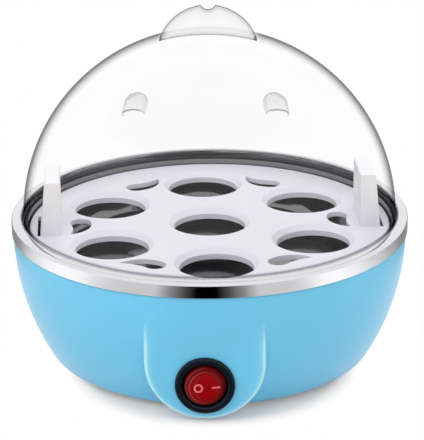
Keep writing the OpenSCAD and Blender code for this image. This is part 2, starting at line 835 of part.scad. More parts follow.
module fuse_lead() {
    lead([
        [leg_x, leg_y, pin_z], [leg_x, leg_y, pin_z - 3], [17, 20, 8.5], [20, 15, 11], [20, 13, 20],
        [18.5, 14, 27], [fuse_lead_x + 2.5, fuse_y, fuse_z], [fuse_lead_x, fuse_y, fuse_z]
    ], "#e6e2d6");
}

module neutral_lead() {
    lead(concat(
        [[-fuse_lead_x, fuse_y, fuse_z], [-fuse_lead_x - 2.5, fuse_y, fuse_z], [-18.5, 15, 27]],
        routed([[-21, 18, 19], [-20, 25, 13], [-14, 29, 11]]),
        [[-pole_gap, block_front - 2, pole_z], [-pole_gap, block_front + 2.5, pole_z]]
    ), "#3c6db4");
}

module earth_lead() {
    lug_way = [cos(lug_turn), sin(lug_turn), 0];
    lug_end = [earth_pos[0], earth_pos[1], earth_z + blade_t / 2] + lug_l * lug_way;
    lead(concat(
        [[0, block_front + 2.5, pole_z], [0, block_front - 2, pole_z]],
        routed([[-5, 28, 17], [-13, 30, 24]]),
        [lug_end + 5 * lug_way, lug_end]
    ), "#8fae3c");
}

// ---- Egg tray ----

// Steam slot beside an egg place: a round end, and a tail that turns out to the tray's edge.
module steam_slot() {
    slot_r1 = egg_ring_r + slot_out;
    start = polar(slot_r1, slot_angle);
    knee = polar(slot_r1 - 1.9, slot_angle + 0.62 * slot_sweep);
    end = polar(slot_r1 + slot_tail, slot_angle + slot_sweep);
    steps = 10;
    mid = [
        for (i = [0:steps])
            let (t = i / steps)
            (1 - t) * (1 - t) * start + 2 * t * (1 - t) * knee + t * t * end
    ];
    half = [for (i = [0:steps]) slot_r * (1 - pow(i / steps, 2))];
    way = [for (i = [0:steps]) left_of(mid[max(i - 1, 0)], mid[min(i + 1, steps)])];
    first = angle_of(way[0]);
    polygon(concat(
        [for (i = [0:steps]) mid[i] - way[i] * half[i]],
        [for (i = [steps - 1:-1:0]) mid[i] + way[i] * half[i]],
        [for (i = [1:7]) start + polar(slot_r, first + 180 * i / 8)]
    ));
}

module at_egg_places() {
    children();
    around(egg_angles, egg_ring_r) children();
}

module egg_tray() {
    handle = [
        [handle_in_r, tray_z], [handle_in_r, tray_top_z + handle_h],
        [handle_in_r + handle_top_t, tray_top_z + handle_h], [handle_in_r + handle_foot_t, tray_z]
    ];
    edge = [[0, tray_z], [tray_r, tray_z], [tray_r, tray_top_z], [0, tray_top_z]];
    slit_x = handle_in_r + handle_foot_t + 0.1;
    color("#e3e3ea") rotate([0, 0, tray_turn]) difference() {
        union() {
            lathe(rounded(edge, [0, 0.4, edge_r, 0]));
            at_egg_places() translate([0, 0, tray_z - collar_h])
                cylinder(r = egg_hole_r + collar_t, h = collar_h + eps);
            for (a = [0, 180]) rotate([0, 0, a]) translate([0, handle_w / 2, 0]) rotate([90, 0, 0])
                linear_extrude(handle_w) polygon(rounded_loop(handle, edge_r + 0.1));
        }
        at_egg_places() {
            cylinder(r = egg_hole_r, h = big);
            translate([0, 0, tray_top_z - egg_bevel])
                cylinder(r1 = egg_hole_r, r2 = egg_hole_r + egg_bevel + eps, h = egg_bevel + eps);
        }
        for (a = slot_angles) rotate([0, 0, a]) for (m = [0, 1]) mirror([0, m])
            translate([0, 0, tray_z - 1]) linear_extrude(tray_t + 2) steam_slot();
        for (a = [0, 180]) rotate([0, 0, a])
            slab([slit_x, -handle_w / 2, tray_z - 1], [slit_x + slit_w, handle_w / 2, tray_top_z + 1]);
    }
}

// ---- Lid ----

// Places a child at a vent hood: +Z out of the dome, +X down its side with both mouths to the front.
module at_hoods() {
    for (s = [-1, 1]) translate([0, 0, dome_z]) rotate([0, 0, -90 + s * hood_angle])
        rotate([0, hood_lean, 0]) translate([0, 0, lid_r - hood_sink])
            rotate([0, 0, -s * hood_angle]) children();
}

// A lying tube with one round end: a vent hood's outside or inside.
module hood_form(r, mouth) {
    back = hood_l / 3;
    translate([-back, 0, 0]) sphere(r = r);
    translate([-back, 0, 0]) rotate([0, 90, 0]) cylinder(r = r, h = hood_l + mouth);
}

module dome_lid() {
    color("#dfe7ec", 0.35) difference() {
        union() {
            intersection() {
                translate([0, 0, dome_z]) sphere(r = lid_r);
                translate([0, 0, dome_z]) cylinder(r = lid_r + 1, h = lid_r + 1);
            }
            translate([0, 0, lid_z]) cylinder(r = lid_r, h = lid_skirt);
            intersection() {
                translate([0, fin_t / 2, fin_z]) rotate([90, 0, 0]) cylinder(r = fin_r, h = fin_t);
                slab([-fin_r, -fin_t, dome_z + lid_r * 0.9], [fin_r, fin_t, dome_top_z + fin_rise + 1]);
            }
            at_hoods() hood_form(hood_r, 0);
        }
        translate([0, 0, dome_z]) sphere(r = lid_r - lid_wall);
        translate([0, 0, lid_z - 1]) cylinder(r = lid_r - lid_wall, h = lid_skirt + 1);
        translate([0, fin_t, dome_top_z + fin_rise - notch_depth + notch_r]) rotate([90, 0, 0])
            cylinder(r = notch_r, h = 2 * fin_t);
        at_hoods() hood_form(hood_r - hood_wall, 0.3);
    }
}

base_shell();
bottom_cover();
rubber_feet();
cover_screws();
steel_dish();
dish_posts();
heater_plate();
heater_tube();
heater_beads();
heater_pins();
thermostat_cap();
thermostat_body();
thermostat_flange();
thermostat_blades();
thermostat_screws();
thermal_fuse();
fuse_sleeve();
fuse_clip();
clip_screw();
earth_stud();
earth_lug();
earth_nut();
terminal_block();
block_inserts();
block_screws();
block_bolts();
cord_gland();
gland_nut();
switch_housing();
switch_blades();
switch_rocker();
switch_spring();
switch_plunger();
switch_contact();
live_lead();
switched_lead();
heater_lead();
fuse_lead();
neutral_lead();
earth_lead();
egg_tray();
dome_lid();
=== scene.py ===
"""Egg cooker: formed surfaces and finishes, fitted round the solids of the frame. Drawn in millimetres."""

import math

import bmesh
import bpy
import numpy as np
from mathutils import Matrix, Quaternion, Vector


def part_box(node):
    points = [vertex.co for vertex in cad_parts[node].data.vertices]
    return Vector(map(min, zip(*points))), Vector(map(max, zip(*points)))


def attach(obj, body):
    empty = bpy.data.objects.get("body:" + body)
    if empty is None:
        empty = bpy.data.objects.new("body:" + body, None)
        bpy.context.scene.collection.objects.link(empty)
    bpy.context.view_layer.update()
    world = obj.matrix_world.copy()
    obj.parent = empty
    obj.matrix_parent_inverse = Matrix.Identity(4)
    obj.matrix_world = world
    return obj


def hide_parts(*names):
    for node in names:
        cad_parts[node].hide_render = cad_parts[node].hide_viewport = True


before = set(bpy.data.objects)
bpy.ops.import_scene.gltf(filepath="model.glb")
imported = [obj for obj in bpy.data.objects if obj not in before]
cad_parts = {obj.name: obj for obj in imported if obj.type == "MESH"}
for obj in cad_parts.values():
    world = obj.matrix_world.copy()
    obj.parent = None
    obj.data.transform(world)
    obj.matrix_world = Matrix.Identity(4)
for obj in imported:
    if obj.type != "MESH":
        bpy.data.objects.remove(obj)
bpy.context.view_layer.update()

MM = 0.001
WHITE = (1, 1, 1, 1)


# ---- Sizes, from the frame where it gives them ----

def corners(node):
    """Lowest and highest corner of a node's solids, in millimetres."""
    low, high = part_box(node)
    return np.array(low) / MM, np.array(high) / MM


shell_low, shell_high = corners("base_shell")
dish_low, dish_high = corners("steel_dish")
lid_low, lid_high = corners("dome_lid")
bezel_low, bezel_high = corners("switch_housing")
gland_low, gland_high = corners("cord_gland")
cover_high = corners("bottom_cover")[1]
tray_high = corners("egg_tray")[1]

# Rim and dish
rim_r = dish_high[0]
rim_w = 4.3
rim_drop = 0.6
rim_gap = 0.5
band_h = 6.4
lid_seat_w = 2.3
lid_seat_drop = 3.2
tray_seat_w = 2.9
tray_seat_drop = 7.6
dish_slope = 10.5
sheet_t = 0.6
rim_top = shell_high[2] + rim_drop + rim_gap
rim_in_r = rim_r - rim_w
band_z = rim_top - band_h
lid_seat_z = rim_top - lid_seat_drop
tray_wall_r = rim_in_r - lid_seat_w
tray_seat_r = tray_wall_r - tray_seat_w
tray_seat_z = rim_top - tray_seat_drop
pan_r = tray_seat_r - dish_slope
pan_z = dish_low[2] + sheet_t

# Tray
# Painted light: the tray's handles are coloured lighter from this far below the tray's top.
handle_painted_light_h = 21.0
handle_foot = tray_high[2] - handle_painted_light_h

# Bowl
bowl_r = rim_r - sheet_t
bowl_arc_r = 97.5
foot_z = shell_low[2]
wall = 2.2
hem_r = 3.0
cover_gap = 0.3
cover_seat_w = 5.3
step_drop = 0.2
step_in = 0.3
neck_bevel_w = 0.8
neck_bevel_h = 0.9
# The bowl's painted shadow line lies this far under the steel band.
shadow_line_drop = 0.5
recess_r = cover_high[0] + cover_gap
recess_z = foot_z + wall
hole_r = recess_r - cover_seat_w
floor_top = recess_z + wall
step_z = band_z - step_drop
neck_r = bowl_r - step_in
neck_in_r = bowl_r - wall
neck_top = shell_high[2]

# Chin and switch
chin_w = 23.1
chin_sink = 4.0
chin_below = 0.8
chin_edge_r = 1.8
chin_blend = 1.6
bezel_w = 1.55
bezel_t = 1.8
barrel_wall = 1.3
barrel_gap = 0.15
rocker_gap = 0.6
rocker_proud = 1.25
rocker_reach = 4.0
rocker_ball_r = 48.0
rocker_tilt = math.radians(7.5)
chin_y = rim_r - chin_sink
chin_z = foot_z - chin_below + chin_w
switch_z = (bezel_low[2] + bezel_high[2]) / 2
bezel_r = bezel_high[0]
bezel_y = -bezel_low[1]
bezel_depth = bezel_high[1] - bezel_low[1]
barrel_r = bezel_r - bezel_w
rocker_hole_r = barrel_r - barrel_wall
rocker_r = rocker_hole_r - rocker_gap
rocker_pivot = rocker_reach - rocker_proud - bezel_y

# Cord inlet
gland_flange = 2.5
gland_r = 5.5
gland_gap = 0.05
seat_r = 9.2
seat_edge_r = 1.0
inlet_z = (gland_low[2] + gland_high[2]) / 2
seat_y = gland_high[1] - gland_flange

# Lid
lid_r = lid_high[0]
lid_wall = 2.0
lid_z = lid_low[2]
skirt_h = 1.3
fin_r = 20.4
fin_h = 11.0
fin_t = 4.0
fin_foot_w = 18.8
notch_r = 3.2
notch_depth = 1.9
hood_r = 4.6
hood_l = 7.0
hood_cut = 1.8
hood_wall = 0.7
hood_sink = 1.6
hood_spread = 1.05
hood_rise = 0.6
hood_lean = math.radians(40.2)
hood_angle = math.radians(34.0)
hood_turn = math.radians(18.0)
dome_z = lid_z + skirt_h
fin_z = dome_z + lid_r + fin_h - fin_r
hood_mouth = 2 * hood_l / 3 - hood_cut


# ---- Surfaces: grids of points, worked out as whole arrays ----

def arc(centre, radius, start, end, steps):
    """Points on a circle from one angle to another, in degrees: centre + radius * (cos a, sin a)."""
    a = np.radians(np.linspace(start, end, steps + 1))
    return np.stack([centre[0] + radius * np.cos(a), centre[1] + radius * np.sin(a)], -1)


def rounded(path, radii, steps=6):
    """The path with each corner replaced by an arc of its radius, tangent to both of its legs."""
    path = np.array(path, float)
    out = [path[:1]]
    for before, corner, after, radius in zip(path[:-2], path[1:-1], path[2:], radii[1:-1]):
        u = (before - corner) / np.linalg.norm(before - corner)
        v = (after - corner) / np.linalg.norm(after - corner)
        half = math.acos(np.clip(u @ v, -1, 1)) / 2
        centre = corner + (u + v) / np.linalg.norm(u + v) * radius / math.sin(half)
        first = corner + u * radius / math.tan(half) - centre
        last = corner + v * radius / math.tan(half) - centre
        start = math.degrees(math.atan2(first[1], first[0]))
        turn = (math.degrees(math.atan2(last[1], last[0])) - start + 180) % 360 - 180
        out.append(arc(centre, radius, start, start + turn, steps))
    return np.concatenate(out + [path[-1:]])


def finer(path, step):
    """The path with points added on its long legs, no more than a step apart."""
    path = np.array(path, float)
    out = [path[:1]]
    for a, b in zip(path[:-1], path[1:]):
        count = max(1, math.ceil(np.linalg.norm(b - a) / step))
        out.append(a + (b - a) * (np.arange(1, count + 1) / count)[:, None])
    return np.concatenate(out)


def offset(path, distance):
    """The open path moved sideways: each point goes along the mean of its legs' left-hand normals."""
    legs = np.diff(path, axis=0)
    side = np.stack([-legs[:, 1], legs[:, 0]], -1) / np.linalg.norm(legs, axis=1)[:, None]
    before = np.concatenate([side[:1], side])
    mean = before + np.concatenate([side, side[-1:]])
    mean /= np.linalg.norm(mean, axis=1)[:, None]
    return path + mean * distance / np.sum(mean * before, axis=1)[:, None]


def lathe(profile, angles):
    """Carries (r, z) points round the Z axis: x = r cos a, y = r sin a, for each angle a in degrees."""
    a = np.radians(angles)[:, None]
    r, z = np.array(profile).T
    return np.stack([r * np.cos(a), r * np.sin(a), z + 0 * a], -1)


def ring_angles(count):
    """Evenly spaced angles once round, in degrees."""
    return np.arange(count) * 360.0 / count


def quads(rows, columns, close_rows=False, close_columns=False):
    """Corner numbers of the quads between a grid's points, counted row by row."""
    i = np.arange(rows if close_rows else rows - 1)[:, None]
    j = np.arange(columns if close_columns else columns - 1)[None, :]
    right = (j + 1) % columns
    down = (i + 1) % rows * columns
    four = np.broadcast_arrays(i * columns + j, i * columns + right, down + right, down + j)
    return np.stack(four, -1).reshape(-1, 4)


def grid(points, close_rows=False, close_columns=False):
    """A grid of points as (points, quads)."""
    return points.reshape(-1, 3), quads(*points.shape[:2], close_rows, close_columns)


def turned(points, centre, direction=(0, 1, 0)):
    """Moves points drawn about the Z axis so that +Z runs along a direction from a centre."""
    turn = Vector((0, 0, 1)).rotation_difference(Vector(direction)).to_matrix()
    return points @ np.array(turn).T + np.array(centre)


def bell(distance, width):
    """1 where the distance is nothing, falling off smoothly on both sides over a width."""
    return np.exp(-np.square(distance / width))


def ramp(distance, over):
    """0 where the distance is nothing or less, rising evenly to 1 over a length."""
    return np.clip(distance / over, 0, 1)


weld_within = 0.002
sliver_within = 0.0005


def linked(name, data):
    """A new object in the scene."""
    made = bpy.data.objects.new(name, data)
    bpy.context.scene.collection.objects.link(made)
    return made


def piece(name, parts, body, material, replaces=(), sharp=38.0, attributes=None):
    """Makes one mesh of (points, quads) parts, welds it, turns its faces outwards and lets it ride a body."""
    starts = np.cumsum([0] + [len(p) for p, _ in parts])
    points = np.concatenate([p for p, _ in parts]) * MM
    faces = np.concatenate([q + s for (_, q), s in zip(parts, starts)])
    mesh = bpy.data.meshes.new(name)
    mesh.from_pydata(points.tolist(), [], faces.tolist())
    for key, values in (attributes or {}).items():
        layer = mesh.attributes.new(key, "FLOAT", "POINT")
        layer.data.foreach_set("value", np.asarray(values, np.float32))
    shape = bmesh.new()
    shape.from_mesh(mesh)
    bmesh.ops.remove_doubles(shape, verts=shape.verts, dist=weld_within * MM)
    bmesh.ops.dissolve_degenerate(shape, edges=shape.edges, dist=sliver_within * MM)
    bmesh.ops.recalc_face_normals(shape, faces=shape.faces)
    shape.to_mesh(mesh)
    shape.free()
    mesh.shade_smooth()
    mesh.set_sharp_from_angle(angle=math.radians(sharp))
    made = linked(name, mesh)
    mesh.materials.append(material)
    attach(made, body)
    if replaces:
        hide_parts(*replaces)
    return made


# ---- Shader maths ----

class Wire:
    """A node's output. Sums on it add Math nodes, so that 1 - wire * 0.5 works."""

    def __init__(self, tree, socket):
        self.tree = tree
        self.socket = socket

    def maths(self, operation, first, second=None):
        """A Math node on one or two values, each a wire or a number."""
        made = self.tree.nodes.new("ShaderNodeMath")
        made.operation = operation
        for place, value in enumerate([first, second]):
            if isinstance(value, Wire):
                self.tree.links.new(value.socket, made.inputs[place])
            elif value is not None:
                made.inputs[place].default_value = value
        return Wire(self.tree, made.outputs[0])

    def __add__(self, other):
        return self.maths("ADD", self, other)

    def __radd__(self, other):
        return self.maths("ADD", other, self)

    def __sub__(self, other):
        return self.maths("SUBTRACT", self, other)

    def __rsub__(self, other):
        return self.maths("SUBTRACT", other, self)

    def __mul__(self, other):
        return self.maths("MULTIPLY", self, other)

    def __truediv__(self, other):
        return self.maths("DIVIDE", self, other)

    def __pow__(self, other):
        return self.maths("POWER", self, other)

    def absolute(self):
        return self.maths("ABSOLUTE", self)

    def clamped(self):
        """Held between 0 and 1."""
        return self.maths("MINIMUM", self.maths("MAXIMUM", self, 0.0), 1.0)


class Finish:
    """A material, and the one method that adds a node to it."""

    def __init__(self, name, tree=None):
        if tree is None:
            self.material = bpy.data.materials.new(name)
            self.material.use_nodes = True
            tree = self.material.node_tree
        self.tree = tree
        self.tree.nodes.clear()

    def add(self, kind, settings=None, values=None, output=0):
        """A node of this kind: its settings first, then the values or links of its sockets."""
        made = self.tree.nodes.new("ShaderNode" + kind)
        for key, value in (settings or {}).items():
            setattr(made, key, value)
        for key, value in (values or {}).items():
            socket = made.inputs[key]
            if isinstance(value, Wire):
                self.tree.links.new(value.socket, socket)
            else:
                socket.default_value = value
        return Wire(self.tree, made.outputs[output]) if len(made.outputs) else made

    def place(self, scale=(1, 1, 1)):
        """Object coordinates, stretched by a scale."""
        here = self.add("TexCoord", output=3)
        return self.add("Mapping", {}, {"Vector": here, "Scale": scale})

    def noise(self, scale, detail=2.0, where=None):
        """Soft noise over object coordinates, or over coordinates of its own."""
        values = {"Vector": where or self.place(), "Scale": scale, "Detail": detail}
        return self.add("TexNoise", {}, values)

    def mix(self, factor, first, second):
        """A colour between two colours."""
        return self.add("Mix", {"data_type": "RGBA"}, {0: factor, 6: first, 7: second}, output=2)

    def bump(self, height, strength, distance):
        return self.add("Bump", {}, {"Height": height, "Strength": strength, "Distance": distance})

    def surface(self, shader):
        self.add("OutputMaterial", {}, {"Surface": shader})
        return self.material


def rgb(red, green, blue):
    """A colour from its 0 to 255 screen values, as the linear light that the shaders use."""
    shares = [v / 255 for v in (red, green, blue)]
    return tuple(s / 12.92 if s <= 0.04045 else ((s + 0.055) / 1.055) ** 2.4 for s in shares) + (1.0,)


def shade(colour, factor):
    """The colour, darker or lighter by a factor."""
    return tuple(c * factor for c in colour[:3]) + (1.0,)


# ---- Finishes ----

def moulded_plastic(name, colour, roughness, grain=0.00004, grain_scale=1800.0, coat=0.0, cloud=0.05,
                    specular=0.5, painted_light_from=1.0, painted_shadow_at=-1.0):
    """Moulded plastic: slow clouds of tone, a fine skin, faint rubbed patches and a painted highlight on
    rounded edges that carry one. It can turn lighter above one height, which is painted light, and have a
    painted shadow line at another, both in metres."""
    edge_highlight_shares = (0.4, 0.8, 0.9)
    painted_light_tone = (0.93, 0.93, 0.95, 1.0)
    painted_light_over = 0.006
    shadow_line_half = 0.0008
    shadow_line_share = 0.3
    shadow_line_shade = 0.5
    rub = 0.1
    f = Finish(name)
    # Painted highlight: an attribute turns rounded edges lighter, standing in for light caught on them.
    edge_highlight = f.add("Attribute", {"attribute_name": "edge_highlight"}, output=2)
    clouds = f.noise(35.0, 3.0)
    rubbed = f.noise(50.0, 1.0)
    grains = f.noise(grain_scale, 3.0)
    swells = f.noise(90.0, 1.0)
    tone = f.mix(clouds, shade(colour, 1 - cloud), shade(colour, 1 + cloud))
    pale = tuple(c + (1 - c) * share for c, share in zip(colour, edge_highlight_shares)) + (1.0,)
    tone = f.mix(edge_highlight, tone, pale)
    height = f.add("SeparateXYZ", {}, {0: f.place()}, output=2)
    # Painted light: lighter above a height, standing in for light on the thin upright tray handles.
    painted_light = ((height - painted_light_from) / painted_light_over).clamped()
    tone = f.mix(painted_light, tone, painted_light_tone)
    # Painted shadow: a soft darker line at one height, standing in for the shade under the steel band's edge.
    painted_shadow_line = (1.0 - (height - painted_shadow_at).absolute() / shadow_line_half).clamped() * shadow_line_share
    tone = f.mix(painted_shadow_line, tone, shade(colour, shadow_line_shade))
    skin = f.bump(grains + swells * 3.0, 0.35, grain)
    return f.surface(f.add("BsdfPrincipled", {}, {
        "Base Color": tone, "Roughness": roughness * (1 - rub / 2) + (rubbed * rub * roughness),
        "Normal": skin, "Coat Weight": coat, "Coat Roughness": 0.08, "Specular IOR Level": specular,
        "IOR": 1.5,
    }))


def polished_steel(name, colour, roughness):
    """Pressed steel: polished along its turning, with fine streaks that follow the rim, and painted shade
    inside the rim, where it faces the dish."""
    painted_shade_share = 0.88
    painted_shade_tone = 0.16
    f = Finish(name)
    strip = f.add("UVMap")
    streaks = f.noise(1.0, 4.0, f.add("Mapping", {}, {"Vector": strip, "Scale": (25.0, 2600.0, 1.0)}))
    broad = f.noise(1.0, 2.0, f.add("Mapping", {}, {"Vector": strip, "Scale": (18.0, 300.0, 1.0)}))
    # Painted shade: the inside attribute darkens the dish and walls that lie under the tray.
    inside = f.add("Attribute", {"attribute_name": "inside"}, output=2)
    tone = f.mix(streaks, shade(colour, 0.95), shade(colour, 1.04))
    tone = f.mix((inside * painted_shade_share).clamped(), tone, shade(colour, painted_shade_tone))
    return f.surface(f.add("BsdfPrincipled", {}, {
        "Base Color": tone, "Metallic": 1.0, "Roughness": roughness + (streaks * 0.04) + (broad * 0.03),
        "Normal": f.bump(streaks, 0.12, 0.00001),
    }))


def plated_metal(name, colour, roughness, dull=0.25):
    """Plated or plain metal parts: a mottled sheen and fine random scratches."""
    f = Finish(name)
    mottle = f.noise(260.0, 4.0)
    scratches = f.noise(1.0, 2.0, f.place((180.0, 2600.0, 900.0)))
    tone = f.mix(mottle, shade(colour, 1 - dull), shade(colour, 1 + dull * 0.3))
    return f.surface(f.add("BsdfPrincipled", {}, {
        "Base Color": tone, "Metallic": 1.0, "Roughness": roughness + (mottle * 0.15),
        "Normal": f.bump(scratches, 0.2, 0.00003),
    }))


def soft_sheath(name, colour, roughness, grain=0.00005):
    """Rubber feet and wire sheaths: matt, with a faint bloom and a pebbled skin."""
    f = Finish(name)
    bloom = f.noise(220.0, 3.0)
    pebble = f.add("TexVoronoi", {"feature": "F1"}, {"Vector": f.place(), "Scale": 1500.0})
    tone = f.mix(bloom, shade(colour, 0.9), shade(colour, 1.18))
    return f.surface(f.add("BsdfPrincipled", {}, {
        "Base Color": tone, "Roughness": roughness - (bloom * 0.12), "Normal": f.bump(pebble, 0.4, grain),
        "Specular IOR Level": 0.4,
    }))


def tinted_red(name, colour):
    """The rocker's clear red plastic: glossy, with painted highlight arcs on its face and painted shade down
    its sides.
    """
    highlight_tone = rgb(222, 84, 92)
    painted_side_shade = 0.35
    f = Finish(name)
    # Painted shade: the side attribute darkens the sides, the face's rim and the pressed right end.
    down = f.add("Attribute", {"attribute_name": "side"}, output=2)
    # Painted shade where the surface turns away from view, at its rounded edges.
    edge = f.add("LayerWeight", {}, {"Blend": 0.35}, output=1)
    clouds = f.noise(420.0, 2.0)
    cells = f.add("TexVoronoi", {"feature": "F1"}, {"Vector": f.place(), "Scale": 900.0})
    tone = f.mix(clouds, shade(colour, 0.82), shade(colour, 1.15))
    tone = f.mix((edge * 0.5 + down).clamped(), tone, shade(colour, painted_side_shade))
    # Painted highlights: bright arcs at the left of the face, standing in for light caught on its edge.
    arcs = f.add("Attribute", {"attribute_name": "arcs"}, output=2)
    tone = f.mix(arcs, tone, highlight_tone)
    return f.surface(f.add("BsdfPrincipled", {}, {
        "Base Color": tone, "Roughness": clouds * 0.08 + 0.12 + (down * 0.5), "Coat Weight": (1 - down) * 0.4,
        "Coat Roughness": 0.05, "Specular IOR Level": 0.12, "Normal": f.bump(cells + clouds, 0.12, 0.00003),
    }))


def printed_mark(name, colour):
    """The pale print of the switch's marks, a little worn."""
    f = Finish(name)
    worn = f.noise(2600.0, 4.0)
    tone = f.mix(worn, shade(colour, 0.85), shade(colour, 1.1))
    return f.surface(f.add("BsdfPrincipled", {}, {
        "Base Color": tone, "Roughness": worn * 0.2 + 0.3, "Normal": f.bump(worn, 0.2, 0.00001),
    }))


def clear_plastic(name, tint, gloss_share):
    """Clear moulded plastic: light passes straight through. The outer wall greys where it turns away, and the
    edge attribute draws painted shade on its edges, creases and openings."""
    grey_from = 0.68
    grey_over = 0.19
    grey_power = 1.4
    grey_most = 0.65
    ripple_share = 0.012
    gloss_limit = 1.2
    f = Finish(name)
    facing = f.add("LayerWeight", {}, {"Blend": 0.5}, output=1)
    outer = f.add("Attribute", {"attribute_name": "outer"}, output=2)
    # Painted shade: the edge attribute darkens joins, creases, openings and edges of the clear parts.
    drawn = f.add("Attribute", {"attribute_name": "edge"}, output=2)
    ripples = f.noise(60.0, 2.0)
    turned_away = ((facing - grey_from) / grey_over).clamped() ** grey_power * grey_most
    grey = (outer * turned_away + drawn + ripples * ripple_share).clamped()
    through = f.add("BsdfTransparent", {}, {"Color": WHITE})
    shaded = f.add("BsdfTransparent", {}, {"Color": tint})
    skin = f.bump(ripples, 0.1, 0.0001)
    gloss = f.add("BsdfGlossy", {}, {"Color": WHITE, "Roughness": 0.04, "Normal": skin})
    body = f.add("MixShader", {}, {0: grey, 1: through, 2: shaded})
    share = (gloss_limit - facing) * gloss_share
    return f.surface(f.add("MixShader", {}, {0: share.clamped(), 1: body, 2: gloss}))


finishes = {
    # The blue shell takes a painted shadow line just under the steel band.
    "blue_shell": moulded_plastic("blue_shell_gloss", rgb(112, 206, 247), 0.3, grain=0.000015, coat=0.08,
                                  cloud=0.025, specular=0.3, painted_shadow_at=(band_z - shadow_line_drop) * MM),
    "cover_plastic": moulded_plastic("cover_matt", rgb(226, 229, 233), 0.5, grain=0.0001),
    # The tray's handles take painted light above their foot.
    "tray_plastic": moulded_plastic("tray_satin", rgb(231, 229, 239), 0.36, grain=0.00006, cloud=0.015,
                                    painted_light_from=handle_foot * MM),
    "clear_lid": clear_plastic("lid_clear", rgb(128, 130, 134), 0.014),
    "rim_steel": polished_steel("rim_polished", rgb(226, 226, 229), 0.05),
    "zinc_steel": plated_metal("zinc_plated", rgb(196, 200, 205), 0.32),
    "heater_aluminium": plated_metal("cast_aluminium", rgb(178, 180, 184), 0.42, dull=0.35),
    "contact_brass": plated_metal("bare_brass", rgb(206, 170, 96), 0.28),
    "foot_rubber": soft_sheath("foot_rubber", rgb(42, 42, 45), 0.82, grain=0.0001),
    "black_plastic": moulded_plastic("black_gloss", rgb(14, 24, 36), 0.3, grain=0.00005, cloud=0.2,
                                     specular=0.22),
    "red_rocker": tinted_red("rocker_red", rgb(150, 5, 11)),
    "white_ceramic": moulded_plastic("ceramic_white", rgb(232, 226, 212), 0.55, grain=0.0001,
                                     grain_scale=900.0),
    "phenolic": moulded_plastic("phenolic_brown", rgb(58, 42, 36), 0.45, grain=0.0001, cloud=0.15),
    "brown_lead": soft_sheath("sheath_brown", rgb(124, 76, 44), 0.5),
    "black_lead": soft_sheath("sheath_black", rgb(44, 46, 50), 0.5),
    "white_lead": soft_sheath("sleeve_white", rgb(228, 222, 208), 0.6),
    "blue_lead": soft_sheath("sheath_blue", rgb(60, 110, 184), 0.5),
    "green_lead": soft_sheath("sheath_green", rgb(142, 172, 62), 0.5),
}
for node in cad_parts.values():
    for holder in node.material_slots:
        holder.material = finishes[holder.material.name]


# ---- Bowl: a turned wall with the chin and the cord inlet's seat raised from it ----

bowl_cx = bowl_r - bowl_arc_r
hem_start = math.degrees(math.asin((foot_z + hem_r - band_z) / (bowl_arc_r - hem_r)))
hem_x = bowl_cx + (bowl_arc_r - hem_r) * math.cos(math.radians(hem_start))
side_end = math.degrees(math.asin((step_z - band_z) / bowl_arc_r))
inner_start = math.degrees(math.asin((floor_top - band_z) / (bowl_arc_r - wall)))
inner_x = bowl_cx + (bowl_arc_r - wall) * math.cos(math.radians(inner_start))
# Rows of points under the foot, round the hem and up the side
UNDER, HEM, SIDE = 5, 6, 46

under = np.stack([np.linspace(recess_r, hem_x, UNDER + 1), np.full(UNDER + 1, foot_z)], -1)
hem = arc((hem_x, foot_z + hem_r), hem_r, -90, hem_start, HEM)
side = arc((bowl_cx, band_z), bowl_arc_r, hem_start, side_end, SIDE)
outer_rows = np.concatenate([under, hem[1:], side[1:]])
inner_foot = np.linspace((recess_r, floor_top), (inner_x, floor_top), UNDER + HEM + 1)
inner_side = arc((bowl_cx, band_z), bowl_arc_r - wall, inner_start, 0, SIDE)
inner_rows = np.concatenate([inner_foot, inner_side[1:]])
neck = [
    (neck_r, step_z), (neck_r, neck_top - neck_bevel_h), (neck_r - neck_bevel_w, neck_top),
    (neck_in_r, neck_top),
]
recess = [(hole_r, floor_top), (hole_r, recess_z), (recess_r, recess_z)]
profile = np.concatenate([outer_rows, neck, inner_rows[::-1], recess])
length = np.concatenate([[0], np.cumsum(np.linalg.norm(np.diff(outer_rows, axis=0), axis=1))])
rising = slice(UNDER, None)

# Rings of a raised place over the bowl, up its wall, round its edge and over its face
OVER, UP, BEND, FLAT = 9, 8, 9, 12
# Columns across the chin, across the inlet's seat and between them; rows that the seat takes
CHIN_COLUMNS, SEAT_COLUMNS, PLAIN_COLUMNS, SEAT_ROWS = 64, 24, 58, 28
# The front and back in degrees, and how far the chin and the seat reach to each side
FRONT, BACK, CHIN_REACH, SEAT_REACH = -90, 90, 24, 12


def out_at(x, z):
    """How far out the bowl's side lies at a sideways place and a height."""
    r = np.interp(z, outer_rows[rising, 1], outer_rows[rising, 0])
    return np.sqrt(np.maximum(r * r - x * x, 0))


def on_bowl(turn, along):
    """A place on the bowl from its turn off the front and its length along the outline: (x, out, z)."""
    r = np.interp(along, length, outer_rows[:, 0])
    return np.stack([r * np.sin(turn), r * np.cos(turn), np.interp(along, length, outer_rows[:, 1])], -1)


def soft_max(a, b, reach):
    """The larger of two heights, with a round join where they come within reach of each other."""
    near = np.clip(1 - np.abs(a - b) / np.maximum(reach, 1e-6), 0, 1)
    return np.maximum(a, b) + near * near * reach / 4


